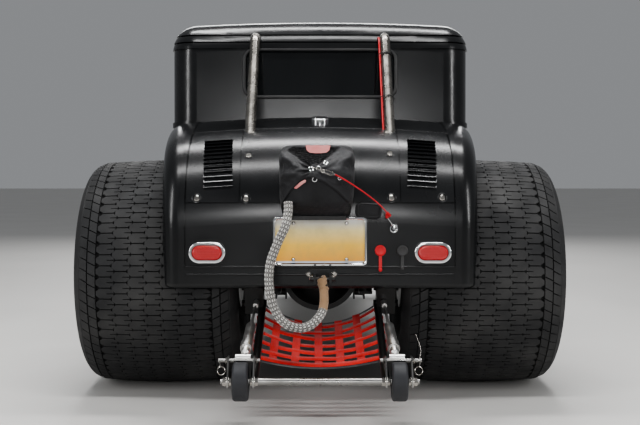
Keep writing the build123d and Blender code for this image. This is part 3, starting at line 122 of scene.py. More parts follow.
def disc(profile, turns):
    """A turned piece whose profile starts and ends on the axis, closed by two fans."""
    inner = profile[1:-1]
    points, faces = turned(inner, turns)
    n, size = len(points), len(inner)
    points += [(profile[0][0], 0, 0), (profile[-1][0], 0, 0)]
    for i in range(turns):
        k = (i + 1) % turns
        faces.append((n, i * size, k * size))
        faces.append((n + 1, k * size + size - 1, i * size + size - 1))
    return points, faces


def frames_along(path):
    """A right and an up direction at each point of a path, carried along without twist."""
    tangents = []
    for i in range(len(path)):
        a, b = path[max(i - 1, 0)], path[min(i + 1, len(path) - 1)]
        tangents.append((b - a).normalized())
    guide = Vector((0, 0, 1)) if abs(tangents[0].z) < 0.9 else Vector((1, 0, 0))
    right = tangents[0].cross(guide).normalized()
    frames = []
    for tangent in tangents:
        right = (right - tangent * right.dot(tangent)).normalized()
        frames.append((right, right.cross(tangent).normalized()))
    return frames


def tube(path, radius, sides, caps=True):
    """A tube round a path. The radius is a number, or a function of the point's number and turn."""
    path = [Vector(p) for p in path]
    points = []
    for i, ((right, up), centre) in enumerate(zip(frames_along(path), path)):
        for j in range(sides):
            a = 2 * math.pi * j / sides
            r = radius(i, a) if callable(radius) else radius
            points.append(centre + right * (r * math.cos(a)) + up * (r * math.sin(a)))
    faces = grid_faces(len(path), sides, close_columns=True)
    if caps:
        faces += [tuple(range(sides)), tuple(reversed(range(len(points) - sides, len(points))))]
    return points, faces


def ring(centre, normal, radius, wire, turns, sides):
    """A closed wire ring."""
    points = []
    for i in range(turns):
        a = 2 * math.pi * i / turns
        for j in range(sides):
            b = 2 * math.pi * j / sides
            r = radius + wire * math.cos(b)
            points.append(Vector((r * math.cos(a), r * math.sin(a), wire * math.sin(b))))
    turn = Vector(normal).to_track_quat("Z", "Y").to_matrix().to_4x4()
    move = Matrix.Translation(centre) @ turn
    return [move @ p for p in points], grid_faces(turns, sides, close_rows=True, close_columns=True)


def lofted(rows, capped=False):
    """Closed rows of equally many points, joined in order, with a face over the last if capped."""
    count, points = len(rows[0]), [p for row in rows for p in row]
    faces = grid_faces(len(rows), count, close_columns=True)
    return points, faces + [tuple(range(len(points) - count, len(points)))] * capped


def slab(outline, thickness):
    """A closed outline in XY, thickened to both sides of Z = 0."""
    n = len(outline)
    points = [(x, y, -thickness / 2) for x, y in outline] + [(x, y, thickness / 2) for x, y in outline]
    faces = [tuple(reversed(range(n))), tuple(range(n, 2 * n))]
    faces += [(i, (i + 1) % n, (i + 1) % n + n, i + n) for i in range(n)]
    return points, faces


def ribbon(path, sides, ups, width, thickness):
    """A flat strap along a path, given its width and thickness directions at each point."""
    points = []
    for p, side, up in zip(path, sides, ups):
        w, t = side * (width / 2), up * (thickness / 2)
        e = side * (width / 2 - thickness / 2)
        points += [p - w, p - e + t, p + e + t, p + w, p + e - t, p - e - t]
    faces = grid_faces(len(path), 6, close_columns=True)
    return points, faces + [tuple(range(6)), tuple(reversed(range(len(points) - 6, len(points))))]


def facing(place, direction):
    """A matrix that turns X along a direction, and moves to a place."""
    x = Vector(direction).normalized()
    y = Vector((0, 0, 1)).cross(x)
    if y.length < 1e-6:
        y = Vector((0, 1, 0)).cross(x)
    y.normalize()
    turn = Matrix((x, y, x.cross(y))).transposed().to_4x4()
    return Matrix.Translation(place) @ turn


def make(name, shape, looks, body="chassis", crease=35):
    """A mesh object with named looks, riding on a body, smooth below an angle unless that is 0."""
    mesh = bpy.data.meshes.new(name)
    mesh.from_pydata([tuple(p) for p in shape.points], [], shape.faces)
    mesh.polygons.foreach_set("material_index", shape.kinds)
    for look in looks.split():
        mesh.materials.append(paint[look])
    mesh.validate()
    tidy = bmesh.new()
    tidy.from_mesh(mesh)
    bmesh.ops.recalc_face_normals(tidy, faces=tidy.faces)
    tidy.to_mesh(mesh)
    tidy.free()
    obj = link(bpy.data.objects.new(name, mesh))
    if crease:
        mesh.shade_smooth()
        mesh.set_sharp_from_angle(angle=math.radians(crease))
    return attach(obj, body)


def add_bevel(obj, width):
    modifier = obj.modifiers.new("edges", "BEVEL")
    modifier.width, modifier.segments = width, 2
    modifier.limit_method, modifier.angle_limit = "ANGLE", math.radians(40)


# Materials

class Nodes:
    """Shorthand for a material's nodes."""

    def __init__(self, name, color, roughness, metallic=0.0, **values):
        self.material = bpy.data.materials.new(name)
        self.material.use_nodes = True
        self.tree = self.material.node_tree
        self.shader = self.tree.nodes["Principled BSDF"]
        self.shader.inputs["Base Color"].default_value = (*color, 1)
        self.shader.inputs["Roughness"].default_value = roughness
        self.shader.inputs["Metallic"].default_value = metallic
        for key, value in values.items():
            self.shader.inputs[key.replace("_", " ")].default_value = value
        self.color, self.coordinates = color, None

    def link(self, output, target):
        self.tree.links.new(output, target)

    def new(self, kind, **settings):
        node = self.tree.nodes.new("ShaderNode" + kind)
        for key, value in settings.items():
            setattr(node, key, value)
        return node

    def where(self, stretch=(1, 1, 1)):
        """The object's own coordinates, stretched."""
        if self.coordinates is None:
            self.coordinates = self.new("TexCoord")
        mapping = self.new("Mapping")
        mapping.inputs["Scale"].default_value = stretch
        self.link(self.coordinates.outputs["Object"], mapping.inputs["Vector"])
        return mapping.outputs["Vector"]

    def texture(self, kind, output, settings, stretch=(1, 1, 1), **values):
        node = self.new("Tex" + kind, **settings)
        for key, value in values.items():
            node.inputs[key].default_value = value
        self.link(self.where(stretch), node.inputs["Vector"])
        return node.outputs[output]

    def noise(self, scale, detail, stretch=(1, 1, 1)):
        return self.texture("Noise", "Fac", {}, stretch, Scale=scale, Detail=detail)

    def cell_edges(self, scale):
        return self.texture("Voronoi", "Distance", {"feature": "DISTANCE_TO_EDGE"}, Scale=scale)

    def waves(self, scale, direction, distortion=0.0):
        bands = {"wave_type": "BANDS", "bands_direction": direction}
        return self.texture("Wave", "Fac", bands, Scale=scale, Distortion=distortion)

    def spread(self, value, low, high, start=0.3, stop=0.7):
        node = self.new("MapRange")
        for key, number in (("From Min", start), ("From Max", stop), ("To Min", low), ("To Max", high)):
            node.inputs[key].default_value = number
        self.link(value, node.inputs["Value"])
        return node.outputs["Result"]

    def mixed(self, factor, first, second):
        node = self.new("Mix", data_type="RGBA")
        self.link(factor, node.inputs["Factor"])
        for key, value in (("A", first), ("B", second)):
            target = next(i for i in node.inputs if i.name == key and i.type == "RGBA")
            if isinstance(value, tuple):
                target.default_value = (*value, 1)
            else:
                self.link(value, target)
        return next(o for o in node.outputs if o.type == "RGBA")

    def product(self, first, second):
        node = self.new("Math", operation="MULTIPLY")
        self.link(first, node.inputs[0])
        self.link(second, node.inputs[1])
        return node.outputs["Value"]

    def paint(self, factor, first, second):
        self.link(self.mixed(factor, first, second), self.shader.inputs["Base Color"])

    def mottled(self, scale, detail, other, start=0.3, stop=0.7, most=1.0):
        """Patches of a second colour, which come in where the noise is over a start."""
        self.paint(self.spread(self.noise(scale, detail), 0, most, start, stop), self.color, other)

    def rough(self, value, low, high):
        self.link(self.spread(value, low, high), self.shader.inputs["Roughness"])

    def bump(self, height, depth, strength):
        """Raises the surface by a height of 0 to 1 times a depth in metres."""
        node = self.new("Bump")
        node.inputs["Distance"].default_value = depth
        node.inputs["Strength"].default_value = strength
        self.link(height, node.inputs["Height"])
        socket = self.shader.inputs["Normal"]
        if socket.links:
            self.link(socket.links[0].from_socket, node.inputs["Normal"])
        self.link(node.outputs["Normal"], socket)


def shade(color, share):
    return tuple(c * share for c in color)


def body_paint(name, color, low, high):
    """Dark paint with lighter patches, uneven gloss and a faint ripple."""
    m = Nodes(name, color, low, Specular_IOR_Level=0.38, Coat_Weight=0.08, Coat_Roughness=0.24)
    m.mottled(2.5, 5.0, tuple(c * 1.7 + 0.002 for c in color), 0.35, 0.75)
    m.rough(m.noise(6.0, 6.0), low, high)
    m.bump(m.noise(420.0, 2.0), 0.00003, 0.25)
    return m.material


def brushed(name, color, low, high, stretch=(1, 1, 1)):
    m = Nodes(name, color, low, 1.0, Anisotropic=0.5)
    grain = m.noise(30.0, 6.0, stretch)
    m.rough(grain, low, high)
    m.mottled(14.0, 4.0, shade(color, 0.72), 0.4)
    m.bump(grain, 0.00004, 0.3)
    return m.material


def polished(name, color, low=0.04, high=0.14):
    m = Nodes(name, color, low, 1.0)
    m.rough(m.noise(40.0, 5.0), low, high)
    m.mottled(9.0, 3.0, shade(color, 0.8), 0.45, 0.75)
    return m.material


def rubber(name, color, low=0.62, high=0.85, dust=(0.075, 0.073, 0.07)):
    m = Nodes(name, color, low, Specular_IOR_Level=0.45)
    m.rough(m.noise(18.0, 6.0), low, high)
    m.mottled(5.0, 8.0, dust, 0.45, 0.8, 0.5)
    m.bump(m.noise(900.0, 3.0), 0.0001, 0.35)
    return m.material


def woven(name, color, other, pitch, depth, low=0.75, high=0.95, sheen=0.35):
    """Cloth of two sets of threads, with patches of another colour."""
    m = Nodes(name, color, low, Sheen_Weight=sheen, Sheen_Roughness=0.4, Specular_IOR_Level=0.3)
    threads = 0.5 / pitch
    over = m.product(m.waves(threads, "X", 0.4), m.waves(threads, "Z", 0.4))
    m.rough(m.noise(60.0, 4.0), low, high)
    m.mottled(11.0, 6.0, other, 0.35)
    m.bump(over, depth, 0.8)
    m.bump(m.noise(70.0, 5.0), depth * 4, 0.3)
    return m.material


def tinted_glass(name, color, roughness=0.02):
    m = Nodes(name, color, roughness, Transmission_Weight=0.85, IOR=1.45, Specular_IOR_Level=0.6)
    m.rough(m.noise(7.0, 4.0), roughness, roughness + 0.05)
    return m.material


def lamp_lens():
    m = Nodes("red_lens", (0.42, 0.003, 0.004), 0.12, Coat_Weight=0.8, Coat_Roughness=0.04)
    # Lighter and darker red stripes that follow the ribs: painted highlight and shade on the lens ribs
    m.paint(m.waves(95.0, "X"), (0.50, 0.004, 0.005), (0.20, 0.0015, 0.002))
    m.bump(m.waves(95.0, "X"), 0.0012, 0.6)
    m.bump(m.waves(60.0, "Z"), 0.0008, 0.4)
    # A faint red emission: a painted glow that brightens the lens
    m.shader.inputs["Emission Color"].default_value = (0.8, 0.01, 0.01, 1)
    m.shader.inputs["Emission Strength"].default_value = 0.08
    return m.material


def leather(name, color):
    m = Nodes(name, color, 0.5, Specular_IOR_Level=0.45)
    m.rough(m.noise(25.0, 5.0), 0.42, 0.62)
    m.mottled(6.0, 5.0, shade(color, 1.6))
    m.bump(m.cell_edges(650.0), 0.0003, 0.5)
    return m.material


def rough_metal(name, color, other, metallic=0.4, low=0.5, high=0.75):
    m = Nodes(name, color, low, metallic)
    m.rough(m.noise(30.0, 6.0), low, high)
    m.mottled(13.0, 8.0, other, 0.4)
    m.bump(m.noise(260.0, 4.0), 0.00025, 0.5)
    return m.material


PLATE_Z, PLATE_WIDE, PLATE_TALL = 0.565, 0.305, 0.152


def plate_face():
    """A blank plate whose colour runs from white at the top to orange, with a pale strip below."""
    m = Nodes("plate_face", (0.8, 0.6, 0.2), 0.35, Coat_Weight=0.4, Coat_Roughness=0.1)
    split = m.new("SeparateXYZ")
    m.link(m.where(), split.inputs["Vector"])
    height = m.spread(split.outputs["Z"], 0, 1, PLATE_Z - PLATE_TALL / 2, PLATE_Z + PLATE_TALL / 2)
    ramp = m.new("ValToRGB")
    ramp.color_ramp.elements[0].position = 0.0
    ramp.color_ramp.elements[0].color = (0.60, 0.68, 0.78, 1)
    for position, color in (
        (0.055, (0.55, 0.62, 0.72)), (0.075, (0.80, 0.36, 0.03)), (0.42, (0.86, 0.52, 0.06)),
        (0.74, (0.80, 0.66, 0.30)), (0.90, (0.62, 0.60, 0.52)),
    ):
        stop = ramp.color_ramp.elements.new(position)
        stop.color = (*color, 1)
    last = ramp.color_ramp.elements[-1]
    last.position = 1.0
    last.color = (0.62, 0.62, 0.62, 1)
    m.link(height, ramp.inputs["Fac"])
    grime = m.spread(m.noise(30.0, 6.0), 0.0, 0.35, 0.4, 0.8)
    m.link(m.mixed(grime, ramp.outputs["Color"], (0.42, 0.30, 0.12)), m.shader.inputs["Base Color"])
    m.bump(m.noise(300.0, 3.0), 0.0001, 0.4)
    return m.material


paint = {
    "body": body_paint("body_paint_look", (0.005, 0.0053, 0.0058), 0.20, 0.28),
    "panel": body_paint("panel_paint_look", (0.0062, 0.0066, 0.0072), 0.22, 0.30),
    "chassis": body_paint("chassis_paint_look", (0.005, 0.005, 0.005), 0.26, 0.42),
    "trim": leather("upholstery_look", (0.016, 0.015, 0.015)),
    "glass": tinted_glass("dark_glass", (0.05, 0.055, 0.06)),
    "clear": tinted_glass("clear_glass_look", (0.95, 0.96, 0.97), 0.01),
    "lens": lamp_lens(),
    "chrome": polished("chrome_look", (0.86, 0.87, 0.88)),
    "stainless": brushed("stainless_look", (0.60, 0.585, 0.56), 0.16, 0.34, (60, 2, 2)),
    "tyre": rubber("tyre_look", (0.014, 0.0142, 0.015)),
    # Near-black rubber for the tread's sunk floor: painted shade in the grooves, with dust patches
    "groove": rubber("tyre_groove_shade_look", (0.0015, 0.0015, 0.0016), 0.85, 0.95, (0.006,) * 3),
    "small_tyre": rubber("roller_look", (0.02, 0.021, 0.025), 0.5, 0.7),
    "wheel": brushed("wheel_look", (0.12, 0.12, 0.125), 0.25, 0.4),
    "cloth": woven("pack_cloth_look", (0.008, 0.008, 0.009), (0.016, 0.016, 0.018), 0.0011, 0.0002,
                   0.40, 0.58, 0.12),
    "sleeve": woven("sleeve_look", (0.26, 0.25, 0.24), (0.14, 0.135, 0.13), 0.002, 0.0003),
    "sleeve_dark": woven("sleeve_dark_look", (0.035, 0.033, 0.03), (0.09, 0.085, 0.08), 0.002, 0.0003),
    "sleeve_light": woven("sleeve_light_look", (0.66, 0.65, 0.62), (0.46, 0.45, 0.43), 0.002, 0.0003),
    "fork_steel": brushed("fork_steel_look", (0.30, 0.295, 0.285), 0.24, 0.38),
    "can": polished("can_look", (0.74, 0.735, 0.72), 0.30, 0.42),
    "red_cord": woven("red_cord_look", (0.55, 0.012, 0.02), (0.40, 0.006, 0.012), 0.0015, 0.0002),
    "red_plastic": rubber("red_plastic_look", (0.50, 0.012, 0.016), 0.3, 0.5, (0.3, 0.02, 0.02)),
    "webbing": woven("webbing_look", (0.62, 0.022, 0.016), (0.46, 0.012, 0.010), 0.0016, 0.0004),
    "edging": woven("edging_look", (0.05, 0.05, 0.055), (0.1, 0.1, 0.1), 0.0016, 0.0003),
    "engine": rough_metal("engine_look", (0.035, 0.036, 0.038), (0.07, 0.065, 0.06)),
    "exhaust": rough_metal("exhaust_look", (0.30, 0.28, 0.26), (0.16, 0.13, 0.11), 0.9, 0.35, 0.6),
    "core": rough_metal("core_look", (0.05, 0.05, 0.05), (0.09, 0.09, 0.09), 0.8, 0.4, 0.6),
    "plate": plate_face(),
    "tan": woven("tan_sleeve_look", (0.36, 0.24, 0.14), (0.26, 0.16, 0.09), 0.0018, 0.0004),
    "label": woven("label_look", (0.70, 0.36, 0.34), (0.55, 0.12, 0.12), 0.0012, 0.0002),
    "nickel": polished("nickel_look", (0.46, 0.44, 0.41), 0.14, 0.30),
    "stay": brushed("stay_look", (0.30, 0.285, 0.26), 0.22, 0.36),
    "black_plastic": rubber("black_plastic_look", (0.02, 0.02, 0.021), 0.35, 0.55),
}

SLOT_LOOKS = {
    "body_paint": "body", "panel_paint": "panel", "chassis_paint": "chassis", "interior_trim": "trim",
    "glass": "glass", "clear_glass": "clear", "red_lens": "lens", "chrome": "chrome",
    "stainless": "stainless", "rear_tyre": "tyre", "front_tyre": "tyre", "wheel_metal": "wheel",
    "small_rubber": "small_tyre", "pack_cloth": "cloth", "tether_sleeve": "sleeve",
    "red_cord": "red_cord", "red_cable": "red_plastic", "net_webbing": "webbing",
    "engine_metal": "engine", "exhaust_metal": "exhaust", "core_metal": "core",
}

# Nodes whose look isn't their slot's
NODE_LOOKS = {
    "wheelie_cans": "can", "roof_stays": "stay", "tether_bracket": "chassis", "pull_pin": "red_plastic",
}


def dress_nodes():
    """Every carried-over piece takes its own look, or else its slot's."""
    for part in frame["record"]["subparts"]:
        node = nodes[part["node"]]
        node.data.materials.clear()
        look = NODE_LOOKS.get(part["node"], SLOT_LOOKS[part["material_slot"]])
        node.data.materials.append(paint[look])


dress_nodes()


# Cords

TETHER_ROUTE = [
    (-0.103, -0.585, 0.700), (-0.100, -0.600, 0.655), (-0.118, -0.612, 0.607),
    (-0.142, -0.620, 0.557), (-0.160, -0.628, 0.507), (-0.165, -0.634, 0.457),
    (-0.160, -0.638, 0.407), (-0.147, -0.640, 0.359), (-0.119, -0.641, 0.318),
    (-0.076, -0.637, 0.297), (-0.031, -0.624, 0.303), (0.002, -0.601, 0.332),
    (0.016, -0.574, 0.372), (0.012, -0.544, 0.412),
]
PULL_ROUTE = [
    (0.048, -0.612, 0.790), (0.075, -0.609, 0.776), (0.118, -0.595, 0.749),
    (0.162, -0.572, 0.718), (0.203, -0.540, 0.684), (0.222, -0.516, 0.662),
]
TETHER_RADIUS, PULL_RADIUS = 0.0145, 0.0022
TAN_LENGTH, FOLD_COUNT = 0.075, 90
SLEEVE_SIDES, SLEEVE_STEP = 56, 0.0020
# The sleeve's scales: how many go round it, and how fast they turn along it
SCALE_COUNT, SCALE_TWIST = 5, 230


def route_curve(name, route, bevel):
    """A smooth curve whose control points are the route's."""
    data = bpy.data.curves.new(name, "CURVE")
    data.dimensions = "3D"
    data.bevel_depth = bevel
    data.bevel_resolution = 4
    data.use_fill_caps = True
    spline = data.splines.new("NURBS")
    spline.points.add(len(route) - 1)
    for point, place in zip(spline.points, route):
        point.co = (*at(*place), 1)
    spline.order_u = 3
    spline.use_endpoint_u = True
    spline.resolution_u = 24
    return link(bpy.data.objects.new(name, data))


def route_line(route):
    """The points of the smooth curve through a route."""
    guide = route_curve("guide", route, 0.0)
    bpy.context.view_layer.update()
    mesh = bpy.data.meshes.new_from_object(guide.evaluated_get(bpy.context.evaluated_depsgraph_get()))
    line = [v.co.copy() for v in mesh.vertices]
    bpy.data.objects.remove(guide)
    bpy.data.meshes.remove(mesh)
    return line


def even_steps(line, step):
    """Points at an even distance along a line, and the line's length."""
    reach = [0.0]
    for a, b in zip(line, line[1:]):
        reach.append(reach[-1] + (b - a).length)
    count = max(2, round(reach[-1] / step))
    points, k = [], 0
    for i in range(count + 1):
        goal = reach[-1] * i / count
        while k < len(line) - 2 and reach[k + 1] < goal:
            k += 1
        span = reach[k + 1] - reach[k]
        points.append(line[k].lerp(line[k + 1], (goal - reach[k]) / span if span else 0))
    return points, reach[-1]


def tether():
    """The sleeved tether: a gathered scaly sleeve, with a tan sleeve over its last stretch."""
    line, length = even_steps(route_line(TETHER_ROUTE), SLEEVE_STEP)
    draw = random.Random(7)
    folds = [(draw.uniform(0, length), draw.uniform(0, 6.28), draw.uniform(0.008, 0.016),
              draw.uniform(-0.0020, 0.0016)) for _ in range(FOLD_COUNT)]
    step = length / (len(line) - 1)

    def scales(s, turn):
        """From -1 to 1: near 0 between the sleeve's scales."""
        return (math.sin(turn * SCALE_COUNT + s * SCALE_TWIST)
                * math.sin(turn * SCALE_COUNT - s * SCALE_TWIST))

    def radius(i, turn):
        s = i * step
        if s > length - TAN_LENGTH:
            return TETHER_RADIUS * (1.01 + 0.012 * math.sin(turn * 2 + s * 60))
        crumple = 0.0
        for place, side, size, height in folds:
            if abs(s - place) < size * 2:
                lean = math.cos(turn - side - (s - place) * 40)
                crumple += height * math.exp(-((s - place) / size) ** 2) * max(lean, -0.3)
        return TETHER_RADIUS * 0.935 + 0.0016 * abs(scales(s, turn)) + crumple * 0.6

    shape = Shape()
    shape.add(*tube(line, radius, SLEEVE_SIDES))
    obj = make("tether_sleeve", shape, "sleeve tan sleeve_dark sleeve_light", crease=0)
    mesh = obj.data
    mesh.shade_smooth()
    start = int((length - TAN_LENGTH) / step) * SLEEVE_SIDES
    for face in mesh.polygons:
        first = min(face.vertices)
        diamond = scales(first // SLEEVE_SIDES * step, 2 * math.pi * (first % SLEEVE_SIDES) / SLEEVE_SIDES)
        if first >= start:
            face.material_index = 1
        elif abs(diamond) < 0.24:
            face.material_index = 2
        elif diamond > 0.24:
            face.material_index = 3
    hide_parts("tether")


def pull_cord():
    obj = route_curve("pull_cord_braid", PULL_ROUTE, PULL_RADIUS)
    obj.data.materials.append(paint["red_cord"])
    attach(obj, "chassis")
    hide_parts("pull_cord")
    _, length = even_steps(route_line(PULL_ROUTE), 0.002)


tether()
pull_cord()


# Tyres

def arc_points(a, middle, b, count):
    """Points of the arc from a through a middle point to b, both ends included."""
    squares = [p[0] ** 2 + p[1] ** 2 for p in (a, middle, b)]
    twice = 2 * (a[0] * (middle[1] - b[1]) + middle[0] * (b[1] - a[1]) + b[0] * (a[1] - middle[1]))
    u = (squares[0] * (middle[1] - b[1]) + squares[1] * (b[1] - a[1])
         + squares[2] * (a[1] - middle[1])) / twice
    v = (squares[0] * (b[0] - middle[0]) + squares[1] * (a[0] - b[0])
         + squares[2] * (middle[0] - a[0])) / twice
    radius = math.dist((u, v), a)
    angles = [math.atan2(p[1] - v, p[0] - u) for p in (a, middle, b)]
    first, last = angles[0], angles[-1]
    while last < first:
        last += 2 * math.pi
    if not any(first <= angles[1] + 2 * math.pi * k <= last for k in (-1, 0, 1, 2)):
        last -= 2 * math.pi
    return [
        (u + radius * math.cos(first + (last - first) * i / (count - 1)),
         v + radius * math.sin(first + (last - first) * i / (count - 1)))
        for i in range(count)
    ]


def tyre_side(size):
    """The outer line of a tyre from its bead to the middle of its tread, as (x, radius)."""
    half, radius, crown = size["half"], size["z"], size["crown"]
    bead = half * 0.86
    waist = RIM_RADIUS + 0.55 * (radius - RIM_RADIUS)
    edge, shoulder = radius - crown, half * 0.76
    turn = (half - 0.12 * (half - shoulder), edge - 0.026)
    wall = arc_points((bead + 0.010, RIM_RADIUS + 0.022), (half, waist - 0.030), (half, waist), 9)
    corner = arc_points((half, waist), turn, (shoulder, edge), 12)
    tread = arc_points((shoulder, edge), (0, radius), (-shoulder, edge), 21)[:11]
    return [(bead, RIM_RADIUS), (bead, RIM_RADIUS + 0.016)] + wall + corner[1:] + tread[1:]


def radius_at(side, x):
    """Outer radius of a tyre at a distance x from its middle, on the tread and shoulder."""
    x = abs(x)
    for (x0, r0), (x1, r1) in zip(reversed(side), reversed(side[:-1])):
        if x0 <= x <= x1:
            return r0 + (r1 - r0) * (x - x0) / max(x1 - x0, 1e-9)
    return side[-1][1]


def tread_tyre(name, node, body, size, sign, columns, column_width, pitches, grooves, shoulder_rows):
    """A carcass with raised blocks: six-sided ones in columns, slanted ones on the shoulders."""
    side = tyre_side(size)
    depth, sipe, slit = grooves["depth"], grooves["sipe"], grooves["slit"] / 2
    pitch = 2 * math.pi / pitches * size["z"]
    half_tread = columns * column_width / 2
    floor_edge = half_tread + shoulder_rows * 0.031
    base = [(x, r - depth * (x <= floor_edge)) for x, r in side]
    shape = Shape()
    profile = base + [(-x, r) for x, r in reversed(base[:-1])]
    points, faces = turned(profile, CARCASS_TURNS)
    sunk = [abs(x) <= floor_edge for x, _ in profile]
    shape.add(points, faces)
    # Faces of the sunk tread floor take the second look, a painted shade in the grooves
    shape.kinds = [int(sunk[f[0] % len(profile)] and sunk[f[1] % len(profile)]) for f in faces]

    def on_tyre(x, s, sink):
        r = radius_at(side, x) - sink
        return (x, r * math.cos(s), r * math.sin(s))

    def block(outline):
        """A raised block over an outline of (x, distance round the tyre)."""
        cx, cs = (sum(values) / len(outline) for values in zip(*outline))
        rows = []
        for shrink, sink in ((0.0, depth + 0.001), (0.0, BLOCK_CHAMFER), (BLOCK_CHAMFER, 0.0)):
            row = []
            for x, s in outline:
                keep = 1 - shrink / math.hypot(x - cx, s - cs)
                row.append(on_tyre(cx + (x - cx) * keep, (cs + (s - cs) * keep) / size["z"], sink))
            rows.append(row)
        shape.add(*lofted(rows, capped=True))

    wave, half = grooves["wave"], column_width / 2 + grooves["wave"] - grooves["side"] / 2
    top, ramp, hold = pitch / 2 - grooves["cross"] / 2, pitch * 0.40, pitch * 0.20
    for column in range(columns):
        middle = -half_tread + column_width * (column + 0.5)
        left, right = middle - half, middle + half
        inner_left, inner_right = left + 2 * wave, right - 2 * wave
        outline = [
            (left, slit), (left, hold), (inner_left, ramp), (inner_left, top), (inner_right, top),
            (inner_right, ramp), (right, hold), (right, -hold), (inner_right, -ramp), (inner_right, -top),
            (inner_left, -top), (inner_left, -ramp), (left, -hold), (left, -slit),
            (left + sipe, -slit), (left + sipe, slit),
        ]
        for i in range(pitches):
            middle_s = pitch * (i + 0.5 * (column % 2))
            block([(x, middle_s + s) for x, s in outline])
    high, lean = pitch / 2 - 0.0015, pitch * 0.35
    for row in range(shoulder_rows):
        near = half_tread + wave + 0.001 + 0.030 * row
        far = near + 0.027
        outline = [(near, -high), (near, high), (far, high + lean), (far, lean - high)]
        for mirror in (-1, 1):
            for i in range(pitches):
                block([(mirror * x, pitch * (i + 0.5 * row) + s) for x, s in outline])
    move = Matrix.Translation(at(sign * size["x"], size["y"], size["z"]))
    if sign < 0:
        move = move @ Matrix.Rotation(math.pi, 4, "Z")
    shape.points = [move @ p for p in shape.points]
    obj = make(name, shape, "tyre groove", body, crease=28)
    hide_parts(node)


CARCASS_TURNS, BLOCK_CHAMFER = 160, 0.0012
GROOVE_SIZES = ("depth", "wave", "side", "cross", "sipe", "slit")
REAR_GROOVES = dict(zip(GROOVE_SIZES, (0.007, 0.0055, 0.0032, 0.0030, 0.024, 0.0034)))
FRONT_GROOVES = dict(zip(GROOVE_SIZES, (0.006, 0.003, 0.004, 0.0025, 0.012, 0.0018)))

SIDES = (("left", -1), ("right", 1))

for side_name, sign in SIDES:
    tread_tyre(f"rear_tread_{side_name}", f"rear_tyre_{side_name}", f"rear_wheel_{side_name}",
               REAR_TYRE, sign, 7, 0.0551, 68, REAR_GROOVES, 2)
    tread_tyre(f"front_tread_{side_name}", f"front_tyre_{side_name}", f"front_wheel_{side_name}",
               FRONT_TYRE, sign, 4, 0.030, 66, FRONT_GROOVES, 0)


# Net

BAR_X, BAR_RADIUS = 0.203, 0.013
NET_NEAR, NET_FAR = (-0.318, 0.3176), (-0.636, 0.1979)
NET_HALF, NET_DROP_FRONT, NET_DROP_REAR = 0.192, 0.0020, 0.0110
NET_SAG_FRONT, NET_SAG_REAR = 0.062, 0.021
STRAP_WIDE, STRAP_THICK = 0.0255, 0.0016
CROSS_SHARES = (0.0, 0.167, 0.308, 0.465, 0.626, 0.783)
HEM_SHARE, WEAVE_LIFT = 0.910, 0.0013
# Steps along a cross strap, round its bar, along a lengthwise strap and along an edge
SPAN_STEPS, BAR_STEPS, LONG_STEPS, EDGE_STEPS = 56, 12, 72, 48
LONG_PLACES = ((-0.147, -0.154), (-0.077, -0.082), (-0.006, -0.004), (0.064, 0.067), (0.127, 0.135))


def net_point(x, share, lift=0.0):
    """Point of the slung net: x across, share from its front to its rear."""
    y = NET_NEAR[0] + (NET_FAR[0] - NET_NEAR[0]) * share
    z = NET_NEAR[1] + (NET_FAR[1] - NET_NEAR[1]) * share
    z -= NET_DROP_FRONT + (NET_DROP_REAR - NET_DROP_FRONT) * share
    sag = NET_SAG_FRONT + (NET_SAG_REAR - NET_SAG_FRONT) * share
    hang = sag * (1 - (x / NET_HALF) ** 2)
    return at(x, y, z - hang + lift)


def woven_lift(places, place, width, odd):
    """Up over every second strap that a strap crosses, and down under the others."""
    nearest = min(range(len(places)), key=lambda k: abs(places[k] - place))
    bulge = math.exp(-(((place - places[nearest]) / width) ** 2))
    return (1 if (nearest + odd) % 2 else -1) * bulge * WEAVE_LIFT


def directions(path):
    return [(path[min(k + 1, len(path) - 1)] - path[max(k - 1, 0)]).normalized() for k in range(len(path))]


